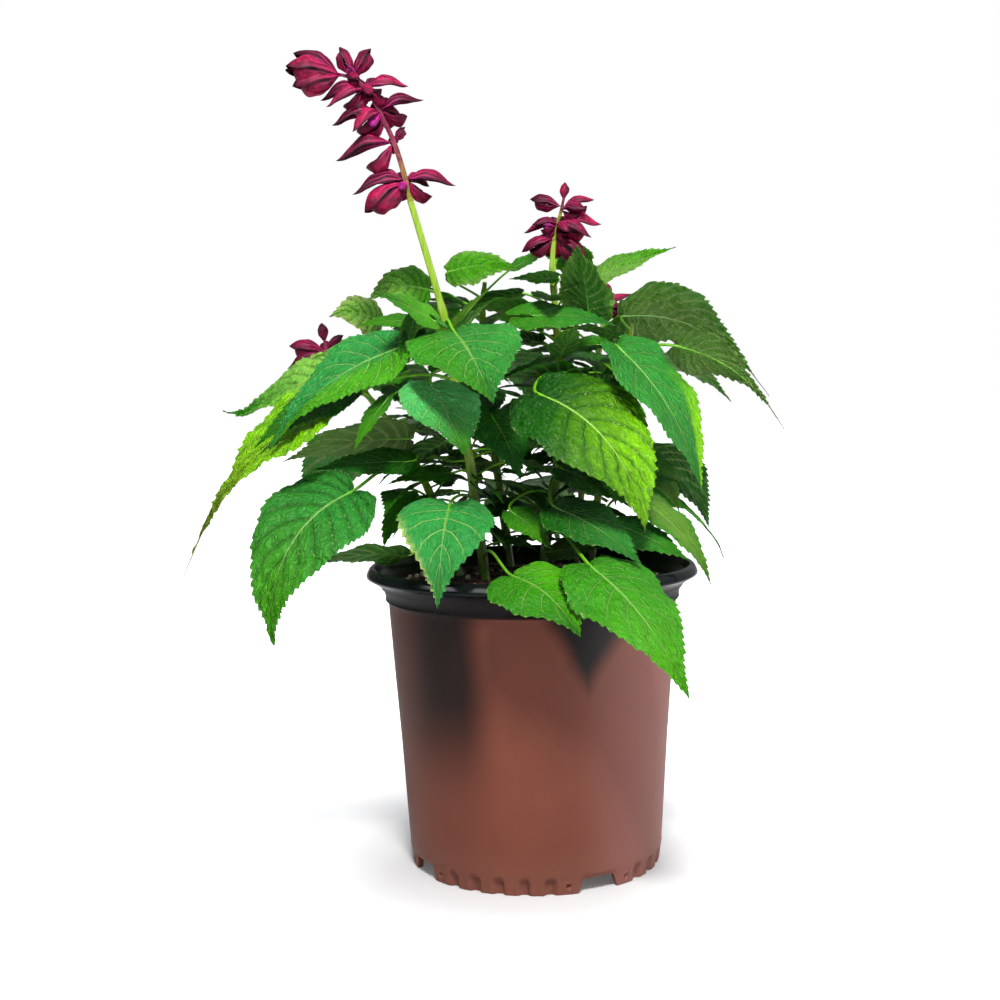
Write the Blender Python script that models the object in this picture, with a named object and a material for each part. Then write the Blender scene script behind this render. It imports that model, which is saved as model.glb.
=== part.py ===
"""Potted salvia: a nursery pot filled with soil, leafy stems and wine-red flower heads.

Metres, +Z up. The origin is the centre of the pot's foot, on the surface that the pot
stands on. Sizes in the tables are millimetres and are turned into metres by MM.
"""
import math
import random
from collections import namedtuple

import bmesh
import bpy
from mathutils import Matrix, Vector
from mathutils.bvhtree import BVHTree

MM = 0.001
GAP = 0.4                      # air between two pieces that touch

# Pot
POT_HEIGHT = 163.0
RIM_RADIUS = 90.0              # outside of the rolled rim
RIM_BAND = 5.5                 # height of the upright band of the rim
RIM_ROUND = 1.3
RIM_WIDTH = 3.4                # flat top of the rim
NECK_RADIUS = 81.4             # stepped neck below the rim
NECK_STEP = 8.2                # height of the neck
NECK_INSET = 1.6               # the inside of the neck lies this far in
LEDGE_WIDTH = 1.8              # small ledge between the body and the neck
LEDGE_RISE = 2.0
BODY_TOP_RADIUS = 78.2
BODY_TOP = 143.0
BODY_FOOT_RADIUS = 69.2
WALL = 1.7
FOOT_RADIUS = 67.6
FOOT_INNER_RADIUS = 64.4
FOOT_RECESS = 8.0              # height of the floor's underside behind the foot ring
PAD_RADIUS = 22.4              # middle of the floor, which reaches down to the surface
PAD_SLOPE = 1.6
POT_SEGMENTS = 64
NOTCH_AZIMUTH = -61.6          # degrees from +X to the first drain notch in the foot
NOTCH_COUNT = 4
NOTCH_WIDTH = 26.0
NOTCH_TOP_WIDTH = 18.0
NOTCH_HEIGHT = 7.2
DENT_DEPTH = 2.3               # upright dents pressed into the foot between the notches
DENT_TOP = 9.0
DENT_FADE = 12.0
CORNER_TOP = 14.0              # the inside corner of the floor clears the dents
CORNER_RADIUS = 64.0

# Soil
SOIL_LEVEL = 154.5
SOIL_EDGE_LEVEL = 152.0
SOIL_BUMPS = 1.5
SOIL_SEGMENTS = 24
HOLE_DEPTH = 24.0
HOLE_SLACK = 0.45

# Plant
BLADE_THICKNESS = 0.8
BLADE_AIR = 2.2                # thickness that a blade is tested at when it is bent clear
STEM_SIDES = 4
STALK_SIDES = 3
STALK_RADIUS = 0.95
STALK_AIR = 1.6
RIB_STATIONS = 16
RIB_LAG = 1.55                 # how far the side veins sweep forward from the midrib
RIB_SWEEP = 1.4
TOOTH = 0.06                   # depth of the cut edge, as a share of the half width
TOOTH_LEAN = 0.012             # how far a tooth points forward, as a share of the length
ARCH = 0.16                    # how far the halves of a blade curve down again towards the edge
RIPPLE = 0.035                 # height of the waves along the edge, as a share of the width
RIPPLE_TURN = 15.0             # radians of those waves from the foot to the tip
TAIL_START = 0.7               # where the long tip starts to bend on its own
STALK_LEAVES = 0.33            # a stalk's curve leaves its stem, and meets its blade, over these
STALK_MEETS = 0.3              # shares of its reach
STALK_RISE = 0.7               # how steeply a stalk rises where it leaves the stem
STALK_UNDER = 0.2              # a stalk ends this far below the middle of its blade
HEAD_GAP = 0.8                 # between the slanting ends of a stem and of its flower head
CUP_WIDTH = 0.24               # half the width of a flower cup, as a share of its length
CUP_STALK = 0.7                # half the width of a flower cup where it leaves the stem
CUP_RINGS = ((0.26, 0.78, 0.62, 0.5), (0.58, 1.0, 0.8, 0.62))   # place, half width, rise and fall
UPPER_LIP = (1.0, 0.75)        # place along the cup and rise of the tips of its two lips
LOWER_LIP = (0.86, -0.95)
STALK_STEPS = 3
LARGE = 82.0                   # a longer blade has the most rows, one shorter than SMALL the fewest
SMALL = 46.0
FILL_SEED = 5
FILL_FRONT = -0.1              # fill leaves that point further to the front than this are left out
SOIL_SEED = 3

# Half of a blade's edge, from the lobe beside the stalk to the tip: along, and out to the side
EDGE = ((-0.07, 0.46), (0.05, 0.86), (0.24, 1.0), (0.46, 0.84), (0.68, 0.48), (0.86, 0.16), (1.0, 0.0))

# Stems: the way of each one up from the soil, and its radius at the soil and at its top
STEMS = {
    "front": (((-25, -5, 156), (-29, -8, 188), (-32, -12, 219), (-38, -18, 252), (-42, -22, 287),
               (-46, -22, 305), (-53, -22, 331), (-60, -22, 356)), 2.5, 1.7),
    "middle": (((6, 18, 156), (13, 22, 199), (19, 22, 222), (18, 18, 251), (16, 13, 290),
                (14, 10, 322), (15, 10, 337)), 2.4, 1.4),
    "left": (((-40, 14, 156), (-52, 22, 190), (-70, 32, 226), (-92, 42, 255), (-112, 52, 274)), 2.2, 1.4),
    "right": (((32, 6, 156), (36, 8, 190), (43, 12, 230), (52, 13, 262), (57, 14, 292)), 2.2, 1.2),
    "back_right": (((26, 46, 156), (30, 54, 200), (37, 62, 250), (44, 68, 296)), 2.2, 1.3),
    "back": (((-12, 48, 156), (-18, 56, 200), (-24, 58, 250), (-26, 52, 292), (-24, 44, 318)), 2.3, 1.3),
}

Leaf = namedtuple("Leaf", "stem joint foot heading pitch length width droop roll fold tail placed",
                  defaults=(True,))

# Leaves that were placed by hand: stem, height where the stalk leaves it, foot of the blade,
# heading, pitch at the foot, length, width, droop to the tip, roll, fold and bend of the tail
LEAVES = (
    Leaf("front", 292, (-37, -50, 287), -70, -20, 70, 58, 24, 10, 10, 0),
    Leaf("middle", 262, (5, -45, 255), -28, -18, 96, 74, 68, 26, 8, 0),
    Leaf("front", 266, (-49, -55, 261), -58, -42, 50, 44, 8, 2, 8, 0),
    Leaf("front", 196, (-41, -60, 200), -97, -30, 62, 50, 44, -6, 10, 0),
    Leaf("middle", 172, (29, -84, 171), -44, -27, 84, 60, 36, 6, 6, 0),
    Leaf("front", 166, (-9, -86, 167), -48, -6, 54, 46, 46, 16, 8, 0),
    Leaf("left", 214, (-93, -40, 206), -148, -20, 96, 64, 84, -26, 8, 0),
    Leaf("left", 250, (-108, -20, 251), -163, -28, 106, 62, 40, -20, 12, 0),
    Leaf("left", 262, (-102, 20, 276), -186, -25, 78, 44, 8, -28, 14, -60),
    Leaf("front", 286, (-69, -38, 279), -172, -28, 84, 50, 42, -36, 10, 0),
    Leaf("front", 262, (-92, -30, 259), -168, -34, 60, 30, 34, -35, 10, 0),
    Leaf("left", 232, (-66, -6, 228), -171, 2, 68, 36, 24, 40, 8, 0),
    Leaf("left", 222, (-64, -14, 224), -178, -18, 52, 28, 12, -28, 10, 0),
    Leaf("front", 256, (-72, -50, 254), -142, -42, 34, 14, 22, -10, 16, 0),
    Leaf("right", 268, (48, -20, 278), -24, -42, 90, 60, 38, 12, 14, 0),
    Leaf("right", 288, (51, 6, 288), 14, 0, 104, 58, 54, -36, 8, 0),
    Leaf("right", 274, (80, -4, 279), -4, -14, 64, 34, 46, -48, 8, 0),
    Leaf("back_right", 286, (33, 20, 316), -10, 22, 52, 30, 6, 30, 12, 0),
    Leaf("middle", 286, (33, -8, 295), -104, 68, 48, 36, 40, -26, 6, 0),
    Leaf("back", 308, (-43, 26, 323), -8, 16, 40, 28, 34, 48, 4, 0),
    Leaf("back", 312, (-8, 36, 325), 11, 30, 28, 14, 8, 26, 10, 0),
    Leaf("middle", 312, (16, 2, 317), -178, 2, 26, 15, 6, 24, 10, 0),
    Leaf("left", 270, (-85, 46, 298), 214, 24, 32, 28, 44, -60, 4, 0),
    Leaf("back", 300, (-55, 20, 313), 200, 18, 36, 28, 60, -60, 4, 0),
    Leaf("front", 298, (-60, -10, 294), -172, 10, 32, 16, 30, -30, 10, 0),
    Leaf("front", 290, (-57, -35, 290), -140, -56, 30, 14, 18, 0, 20, 0),
    Leaf("front", 290, (-47, -44, 293), 208, 30, 36, 24, 16, -40, 10, 0),
    Leaf("front", 290, (-38, -34, 289), 6, 48, 27, 12, 10, -28, 18, 0),
    Leaf("right", 218, (57, -28, 199), -24, -28, 60, 30, 44, 12, 12, 0),
    Leaf("right", 226, (63, 24, 220), -36, -40, 40, 28, 30, 12, 10, 0),
    Leaf("middle", 204, (13, -50, 197), -34, -16, 58, 38, 26, 20, 8, 0),
    Leaf("right", 190, (45, -40, 187), -20, -14, 42, 24, 14, 30, 8, 0),
    Leaf("middle", 196, (-10, -44, 195), -38, -24, 32, 20, 26, 20, 8, 0),
    Leaf("middle", 282, (-7, -22, 295), 4, 8, 56, 30, 30, 30, 8, 0),
    Leaf("middle", 280, (17, -14, 275), -63, 44, 26, 16, 14, -6, 12, 0),
    Leaf("front", 236, (-20, -20, 244), -44, -46, 40, 30, 26, 16, 8, 0),
    Leaf("left", 176, (-67, -26, 171), -174, 4, 50, 26, 30, 30, 8, 0),
    Leaf("middle", 168, (10, -22, 171), -14, 14, 34, 20, 16, 30, 8, 0),
    Leaf("middle", 224, (16, -26, 216), -14, -20, 44, 26, 20, 26, 8, 0),
    Leaf("front", 214, (-44, -6, 213), -172, 4, 34, 19, 28, -26, 8, 0),
    Leaf("left", 258, (-67, 6, 268), -174, -10, 28, 18, 25, -30, 8, 0),
)

# Flower heads: stem, the way of the axis, and its cups as place along the axis (0 to 1),
# heading, pitch and length
HEADS = {
    "tall": ("front", ((-60, -22, 356), (-61, -22, 362), (-67, -22, 384), (-73, -22, 398), (-79, -22, 410),
                       (-87, -22, 419), (-96, -22, 422)), (
        (0.16, 0, 2, 26), (0.16, -50, -8, 24), (0.17, 180, -10, 28), (0.16, 204, -28, 28), (0.17, 150, -5, 24),
        (0.16, 60, 0, 24), (0.30, 183, -14, 30), (0.30, 222, -30, 24), (0.30, 20, 60, 9),
        (0.48, 10, 25, 24), (0.48, -50, -5, 22), (0.46, 185, -10, 27), (0.46, 208, -32, 27), (0.48, 110, 10, 22),
        (0.64, -10, 10, 24), (0.62, 190, -8, 26), (0.62, 250, -20, 22), (0.64, 90, 15, 20), (0.64, 168, 38, 20),
        (0.82, 20, 65, 18), (0.82, 170, 55, 20), (0.80, 0, 12, 18), (0.80, 235, -12, 20), (0.82, 120, 20, 18),
        (0.94, 182, 6, 30), (0.94, 192, -4, 29), (0.94, 172, -6, 28), (0.95, 184, 20, 26))),
    "middle": ("middle", ((15, 10, 337), (16, 10, 343), (19, 10, 353), (21, 10, 362)), (
        (0.98, 30, 75, 14), (0.80, 175, 18, 19), (0.58, 190, -20, 17), (0.38, 200, -32, 24),
        (0.80, -5, 18, 19), (0.58, 0, -8, 23), (0.54, -28, -18, 22), (0.40, -52, -28, 24),
        (0.40, -66, -46, 25), (0.60, 60, -8, 20), (0.60, 110, -5, 20), (0.44, 150, -16, 20))),
    "left": ("left", ((-112, 52, 274), (-115, 54, 278), (-117, 55, 283), (-118, 56, 289)), (
        (0.62, 184, -24, 25), (0.80, 190, -2, 22), (0.90, 150, 24, 19), (0.98, 90, 62, 14),
        (0.90, 20, 45, 13), (0.72, 232, -14, 20), (0.74, 100, 0, 18))),
    "right": ("back_right", ((44, 68, 296), (45, 68, 300), (47, 68, 308)), (
        (0.80, -5, 26, 18), (0.60, -32, 10, 16), (0.60, 60, 20, 16), (0.90, 150, 42, 14), (0.98, 90, 64, 12))),
}


# Fill leaves: stem, the heights of its pairs, and the heading of the lowest pair
FILL = (
    ("front", (222, 300), 20),
    ("middle", (236, 300, 322), 70),
    ("left", (190, 226, 258), 60),
    ("right", (200, 244), 50),
    ("back_right", (185, 225, 268), 20),
    ("back", (185, 225, 262, 296), 60),
)
FILL_TURN = 14                 # a fill leaf turns by up to this from its rule
FILL_REACH = (26, 44)          # from the stem to the foot of the blade
FILL_RISE = (10, 34)
FILL_PITCH = (-22, -2)
FILL_LENGTH = (72, 92)
FILL_SLIM = (0.56, 0.68)       # width as a share of the length
FILL_DROOP = (34, 54)
FILL_FOLD = (6, 16)
FILL_TAIL = (0, 20)
FILL_SMALLER = 230             # above this height the fill leaves get smaller


def vec(triple):
    return Vector(triple) * MM


def curve(points, share):
    """A point on the smooth curve through points, with share running from 0 to 1."""
    spans = len(points) - 1
    place = min(max(share, 0.0), 1.0) * spans
    i = min(int(place), spans - 1)
    t = place - i
    a = Vector(points[max(i - 1, 0)])
    b = Vector(points[i])
    c = Vector(points[i + 1])
    d = Vector(points[min(i + 2, spans)])
    bend = (2 * a - 5 * b + 4 * c - d) * t * t + (3 * b - a - 3 * c + d) * t * t * t
    return b + 0.5 * ((c - a) * t + bend)


def heading_vector(heading, pitch):
    turn = math.radians(heading)
    rise = math.radians(pitch)
    return Vector((math.cos(rise) * math.cos(turn), math.cos(rise) * math.sin(turn), math.sin(rise)))


def make_material(name, colour, roughness):
    material = bpy.data.materials.new(name)
    material.use_nodes = True
    shader = material.node_tree.nodes["Principled BSDF"]
    shader.inputs["Base Color"].default_value = (*colour, 1.0)
    shader.inputs["Roughness"].default_value = roughness
    material.diffuse_color = (*colour, 1.0)
    return material


def make_object(bm, name, material=None, smooth_angle=None):
    """Turns a bmesh into an object whose faces point out."""
    bmesh.ops.recalc_face_normals(bm, faces=bm.faces)
    mesh = bpy.data.meshes.new(name)
    bm.to_mesh(mesh)
    bm.free()
    if material:
        mesh.materials.append(material)
    if smooth_angle:
        mesh.shade_smooth()
        mesh.set_sharp_from_angle(angle=math.radians(smooth_angle))
    made = bpy.data.objects.new(name, mesh)
    bpy.context.scene.collection.objects.link(made)
    return made


def apply_modifiers(made):
    """Keeps the mesh that the modifiers give, and drops the modifiers."""
    graph = bpy.context.evaluated_depsgraph_get()
    mesh = bpy.data.meshes.new_from_object(made.evaluated_get(graph))
    made.modifiers.clear()
    made.data = mesh


def combine(made, others, operation):
    """One Boolean of an object with a collection of others, which is applied; they go."""
    group = bpy.data.collections.new(made.name + "_others")
    bpy.context.scene.collection.children.link(group)
    for other in others:
        group.objects.link(other)
    boolean = made.modifiers.new("fuse", "BOOLEAN")
    boolean.operand_type = "COLLECTION"
    boolean.collection = group
    boolean.operation = operation
    boolean.solver = "EXACT"
    apply_modifiers(made)
    for other in others:
        bpy.data.objects.remove(other, do_unlink=True)
    bpy.data.collections.remove(group)


def turned(profile, segments, start_angle):
    """A closed body from (radius, height) pairs turned about Z."""
    bm = bmesh.new()
    start = Matrix.Rotation(math.radians(start_angle), 4, "Z")
    verts = [bm.verts.new(start @ vec((radius, 0, height))) for radius, height in profile]
    edges = [bm.edges.new(pair) for pair in zip(verts, verts[1:])]
    bmesh.ops.spin(bm, geom=verts + edges, cent=(0, 0, 0), axis=(0, 0, 1), angle=math.tau,
                   steps=segments, use_merge=True)
    bmesh.ops.remove_doubles(bm, verts=bm.verts, dist=1e-6)
    return bm


def inner_wall(height):
    """Radius of the pot's inner wall at a height."""
    share = (height - FOOT_RECESS) / (BODY_TOP - FOOT_RECESS)
    return BODY_FOOT_RADIUS - WALL + (BODY_TOP_RADIUS - BODY_FOOT_RADIUS) * share


def pot_profile():
    floor_top = FOOT_RECESS + WALL
    rim_bottom = POT_HEIGHT - RIM_BAND
    neck_top = BODY_TOP + NECK_STEP
    outside = [
        (FOOT_INNER_RADIUS, 0), (FOOT_RADIUS, 0), (BODY_FOOT_RADIUS - 0.2, DENT_TOP),
        (BODY_FOOT_RADIUS, DENT_FADE), (BODY_TOP_RADIUS, BODY_TOP),
        (BODY_TOP_RADIUS + LEDGE_WIDTH, BODY_TOP + LEDGE_RISE), (NECK_RADIUS, neck_top), (RIM_RADIUS, rim_bottom),
        (RIM_RADIUS, POT_HEIGHT - RIM_ROUND), (RIM_RADIUS - RIM_ROUND, POT_HEIGHT)]
    inside = [
        (RIM_RADIUS - RIM_WIDTH, POT_HEIGHT), (NECK_RADIUS + 2.6, rim_bottom), (NECK_RADIUS - NECK_INSET, neck_top - 1.2),
        (inner_wall(BODY_TOP), BODY_TOP), (inner_wall(CORNER_TOP), CORNER_TOP), (CORNER_RADIUS, floor_top),
        (0, floor_top)]
    underside = [(0, 0), (PAD_RADIUS, 0), (PAD_RADIUS + PAD_SLOPE, FOOT_RECESS),
                 (FOOT_INNER_RADIUS - 0.5, FOOT_RECESS), (FOOT_INNER_RADIUS, 0)]
    return outside, inside, underside


def press_dents(bm):
    """Presses the upright dents into the foot, between the drain notches."""
    step = 360 / POT_SEGMENTS
    quarter = POT_SEGMENTS // NOTCH_COUNT
    for vert in bm.verts:
        radius = vert.co.xy.length / MM
        if vert.co.z > (DENT_TOP + 0.1) * MM or radius < FOOT_RADIUS - 1:
            continue
        azimuth = math.degrees(math.atan2(vert.co.y, vert.co.x))
        place = round((azimuth - NOTCH_AZIMUTH) / step) % quarter
        if place % 2 == 1 and 3 <= place <= quarter - 3:
            vert.co.xy *= (radius - DENT_DEPTH) / radius


def thin_out(bm):
    """Halves the number of faces round the wall, except at the foot with its dents."""
    step = 360 / POT_SEGMENTS
    upright = []
    for edge in bm.edges:
        ends = [vert.co for vert in edge.verts]
        outer = max(ends, key=lambda co: co.xy.length)
        azimuth = math.degrees(math.atan2(outer.y, outer.x))
        odd = round((azimuth - NOTCH_AZIMUTH) / step) % 2 == 1
        along_ring = abs(ends[0].z - ends[1].z) < 1e-6 and abs(ends[0].xy.length - ends[1].xy.length) < 1e-6
        low = min(co.z for co in ends) < (DENT_FADE - 0.1) * MM
        at_foot = low and outer.xy.length > (FOOT_INNER_RADIUS - 0.1) * MM
        if odd and not along_ring and not at_foot:
            upright.append(edge)
    bmesh.ops.dissolve_edges(bm, edges=upright, use_verts=True)


def notch_cutter(index):
    """A wedge that cuts one drain notch through the foot ring."""
    bm = bmesh.new()
    bmesh.ops.create_cube(bm, size=1)
    inner = FOOT_INNER_RADIUS - 6
    outer = BODY_FOOT_RADIUS + 6
    for vert in bm.verts:
        top = vert.co.z > 0
        width = NOTCH_TOP_WIDTH if top else NOTCH_WIDTH + 2
        vert.co = vec((outer if vert.co.x > 0 else inner, math.copysign(width / 2, vert.co.y),
                       NOTCH_HEIGHT if top else -1.0))
    azimuth = math.radians(NOTCH_AZIMUTH + index * 360 / NOTCH_COUNT)
    bmesh.ops.rotate(bm, verts=bm.verts, matrix=Matrix.Rotation(azimuth, 3, "Z"))
    return make_object(bm, f"notch_{index}")


def pot_hull():
    """The filled pot as one plain body, a little taller, which the leaves are bent clear of."""
    soil_top = SOIL_LEVEL + 2
    rim_top = POT_HEIGHT + 0.6
    profile = [(0, 0), (FOOT_RADIUS, 0), (BODY_TOP_RADIUS, BODY_TOP), (RIM_RADIUS, POT_HEIGHT - RIM_BAND),
               (RIM_RADIUS, rim_top), (NECK_RADIUS, rim_top), (NECK_RADIUS - 3, soil_top), (0, soil_top)]
    return turned(profile, POT_SEGMENTS, NOTCH_AZIMUTH)


def build_pot(material):
    outside, inside, underside = pot_profile()
    bm = turned(outside + inside + underside, POT_SEGMENTS, NOTCH_AZIMUTH)
    press_dents(bm)
    thin_out(bm)
    pot = make_object(bm, "pot", material)
    combine(pot, [notch_cutter(index) for index in range(NOTCH_COUNT)], "DIFFERENCE")
    pot.data.shade_smooth()
    pot.data.set_sharp_from_angle(angle=math.radians(30))


def tube(path, widths, heights, sides, up):
    """A closed tube along a list of points. A width of 0 closes its end in a point."""
    bm = bmesh.new()
    side = up.cross(path[1] - path[0]).normalized()
    rings = []
    for i, point in enumerate(path):
        ahead = (path[min(i + 1, len(path) - 1)] - path[max(i - 1, 0)]).normalized()
        side = (side - ahead * side.dot(ahead)).normalized()
        rise = ahead.cross(side)
        ring = []
        for corner in range(sides):
            turn = math.tau * corner / sides
            offset = side * math.cos(turn) * max(widths[i], 0.01) + rise * math.sin(turn) * max(heights[i], 0.01)
            ring.append(bm.verts.new(point + offset * MM))
        rings.append(ring)
    for low, high in zip(rings, rings[1:]):
        for corner in range(sides):
            after = (corner + 1) % sides
            bm.faces.new((low[corner], low[after], high[after], high[corner]))
    bm.faces.new(rings[0])
    bm.faces.new(rings[-1])
    if widths[-1] == 0:
        bmesh.ops.pointmerge(bm, verts=rings[-1], merge_co=path[-1])
    bmesh.ops.triangulate(bm, faces=bm.faces)
    return bm


def stem_point(name, height):
    """The point of a stem's axis at a height, and the radius there."""
    points, foot_radius, top_radius = STEMS[name]
    low, high = 0.0, 1.0
    for _ in range(20):
        middle = (low + high) / 2
        if curve(points, middle).z < height:
            low = middle
        else:
            high = middle
    return curve(points, low) * MM, foot_radius + (top_radius - foot_radius) * low


def stem_tube(name):
    points, foot_radius, top_radius = STEMS[name]
    steps = 2 * (len(points) - 1)
    foot = vec(points[0]) - Vector((0, 0, HOLE_DEPTH * MM))
    path = [foot] + [curve(points, i / steps) * MM for i in range(steps + 1)]
    radii = [foot_radius] + [foot_radius + (top_radius - foot_radius) * i / steps for i in range(steps + 1)]
    return tube(path, radii, radii, STEM_SIDES, Vector((0, 1, 0)))


def midrib(leaf):
    """Points and directions along the middle of a blade, from its foot to its tip."""
    stations = []
    point = vec(leaf.foot)
    for i in range(RIB_STATIONS + 1):
        share = i / RIB_STATIONS
        tail = leaf.tail * max(0.0, share - TAIL_START) / (1 - TAIL_START)
        ahead = heading_vector(leaf.heading, leaf.pitch - leaf.droop * share - tail)
        level = heading_vector(leaf.heading + 90, 0)
        across = Matrix.Rotation(math.radians(leaf.roll), 3, ahead) @ level
        stations.append((point.copy(), ahead, across, ahead.cross(across)))
        point += ahead * leaf.length * MM / RIB_STATIONS
    return stations


def on_blade(leaf, stations, along, out):
    """The place in space of a point of the flat blade: along 0 to 1, out in millimetres."""
    place = min(max(along, 0.0), 1.0) * RIB_STATIONS
    i = min(int(place), RIB_STATIONS - 1)
    t = place - i
    point = stations[i][0].lerp(stations[i + 1][0], t)
    ahead, across, normal = (stations[i][k].lerp(stations[i + 1][k], t).normalized() for k in (1, 2, 3))
    point += ahead * min(along, 0.0) * leaf.length * MM
    half = leaf.width / 2
    lift = abs(out) * math.tan(math.radians(leaf.fold)) - ARCH * out * out / half
    ripple = RIPPLE * leaf.width * math.sin(along * RIPPLE_TURN + leaf.heading) * (out / half) ** 2
    return point + (across * out + normal * (lift + ripple)) * MM


def blade(leaf, rows, columns, thickness):
    """A leaf's blade with its cut edge, split alike on both faces."""
    bm = bmesh.new()
    stations = midrib(leaf)
    grid = []
    for i in range(rows + 1):
        share = i / rows
        edge_along, edge_out = curve([(along, out, 0) for along, out in EDGE], share).xy
        if 0 < i < rows - 1:
            edge_out *= 1 + TOOTH if i % 2 else 1 - TOOTH
            edge_along += TOOTH_LEAN if i % 2 else -TOOTH_LEAN
        rib_along = share ** RIB_LAG
        row = []
        for j in range(-columns, columns + 1):
            across = abs(j) / columns
            along = rib_along + (edge_along - rib_along) * across ** RIB_SWEEP
            out = math.copysign(edge_out * leaf.width / 2 * across, j)
            row.append(bm.verts.new(on_blade(leaf, stations, along, out)))
        grid.append(row)
    for low, high in zip(grid, grid[1:]):
        for j in range(2 * columns):
            bm.faces.new((low[j], low[j + 1], high[j + 1], high[j]))
    bmesh.ops.pointmerge(bm, verts=grid[-1], merge_co=grid[-1][columns].co)
    bmesh.ops.triangulate(bm, faces=bm.faces)
    bm.normal_update()
    for vert in bm.verts:
        vert.co -= vert.normal * thickness * MM / 2
    bmesh.ops.solidify(bm, geom=bm.faces[:], thickness=-thickness * MM)
    return bm


def leaf_cells(leaf):
    """How many rows a blade has, and columns on each side of its midrib."""
    if not leaf.placed:
        return 6, 1
    if leaf.length > LARGE:
        return 12, 2
    return (8, 1) if leaf.length > SMALL else (6, 1)


def stalk_path(leaf):
    """The way of a leaf's stalk from the middle of its stem to under its blade."""
    start, _ = stem_point(leaf.stem, leaf.joint)
    stations = midrib(leaf)
    foot, ahead, _, _ = stations[0]
    reach = (foot - start).length
    outward = (foot - start) * Vector((1, 1, 0))
    rising = (outward.normalized() + Vector((0, 0, STALK_RISE))).normalized()
    controls = (start, start + rising * reach * STALK_LEAVES, foot - ahead * reach * STALK_MEETS, foot)
    path = []
    for i in range(STALK_STEPS + 1):
        t = i / STALK_STEPS
        shares = ((1 - t) ** 3, 3 * t * (1 - t) ** 2, 3 * t * t * (1 - t), t ** 3)
        path.append(sum((share * point for share, point in zip(shares, controls)), Vector()))
    under = stations[1][0] - stations[1][3] * STALK_UNDER * MM
    return path + [under]


def stalk(leaf, first, radius):
    """The tube of a leaf's stalk, from its point number first."""
    path = stalk_path(leaf)[first:]
    radii = [radius] * (len(path) - 1) + [radius * 0.5]
    return tube(path, radii, radii, STALK_SIDES, Vector((0, 0, 1)))


class Placed:
    """What is already in place, which a new leaf is bent clear of."""

    def __init__(self):
        self.trees = []

    def add(self, bm, stem=None):
        low, high = corners(bm)
        self.trees.append((stem, low, high, BVHTree.FromBMesh(bm)))

    def touches(self, bm, but=""):
        """How many faces meet what is in place, leaving out what grows on the stem named in but."""
        low, high = corners(bm)
        near = [tree for stem, other_low, other_high, tree in self.trees
                if stem != but and all(low[k] < other_high[k] and other_low[k] < high[k] for k in range(3))]
        if not near:
            return 0
        own = BVHTree.FromBMesh(bm)
        return sum(len(own.overlap(tree)) for tree in near)


def corners(bm):
    low = [min(vert.co[k] for vert in bm.verts) for k in range(3)]
    high = [max(vert.co[k] for vert in bm.verts) for k in range(3)]
    return low, high


def bends():
    """Small changes of a leaf's pitch, heading and height, the smallest first."""
    changes = []
    for pitch in range(-4, 5):
        for heading in range(-3, 4):
            for lift in range(-2, 3):
                cost = abs(pitch) + abs(heading) + 1.2 * abs(lift)
                changes.append((cost, pitch * 5, heading * 6, lift * 4))
    return sorted(changes)


def bent_clear(leaf, placed):
    """The leaf, bent as little as clears it of what is in place, and how much still touches."""
    best = None
    for _, pitch, heading, lift in bends():
        x, y, z = leaf.foot
        tried = leaf._replace(pitch=leaf.pitch + pitch, heading=leaf.heading + heading, foot=(x, y, z + lift))
        shapes = (blade(tried, 6, 1, BLADE_AIR), stalk(tried, 1, STALK_AIR), stalk(tried, 0, STALK_AIR))
        count = sum(placed.touches(shape) for shape in shapes[:2]) + placed.touches(shapes[2], leaf.stem)
        for shape in shapes:
            shape.free()
        if best is None or count < best[0]:
            best = (count, tried)
        if count == 0:
            break
    return best[1], best[0]


def fill_leaves():
    """Leaf pairs up every stem for the sides and the back that no placed leaf covers."""
    draw = random.Random(FILL_SEED)
    found = []
    for name, heights, spread in FILL:
        points, _, _ = STEMS[name]
        for level, height in enumerate(heights):
            start, _ = stem_point(name, height)
            start = start / MM
            size = 1 - 0.5 * max(0.0, (height - FILL_SMALLER) / 90)
            for turn in (0, 180):
                heading = spread + 90 * (level % 2) + turn + draw.uniform(-FILL_TURN, FILL_TURN)
                if heading_vector(heading, 0).y < FILL_FRONT:
                    continue
                reach = draw.uniform(*FILL_REACH) * size
                foot = start + heading_vector(heading, draw.uniform(*FILL_RISE)) * reach
                length = draw.uniform(*FILL_LENGTH) * size
                found.append(Leaf(name, height, tuple(foot), heading, draw.uniform(*FILL_PITCH), length,
                                  length * draw.uniform(*FILL_SLIM), draw.uniform(*FILL_DROOP),
                                  draw.uniform(-FILL_TURN, FILL_TURN), draw.uniform(*FILL_FOLD),
                                  draw.uniform(*FILL_TAIL), False))
    return found


def placed_leaves(stems, others):
    """Every leaf with the bend that clears it of the stems, of the others and of the other leaves.

    A leaf that no small bend clears is left out.
    """
    placed = Placed()
    for name, stem in stems.items():
        placed.add(stem, name)
    for other in others:
        placed.add(other)
    kept = []
    for leaf in LEAVES + tuple(fill_leaves()):
        clear, touching = bent_clear(leaf, placed)
        if touching:
            continue
        for shape in (blade(clear, 8, 2, BLADE_THICKNESS), stalk(clear, 0, STALK_RADIUS)):
            placed.add(shape, clear.stem)
            shape.free()
        kept.append(clear)
    return kept


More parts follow.
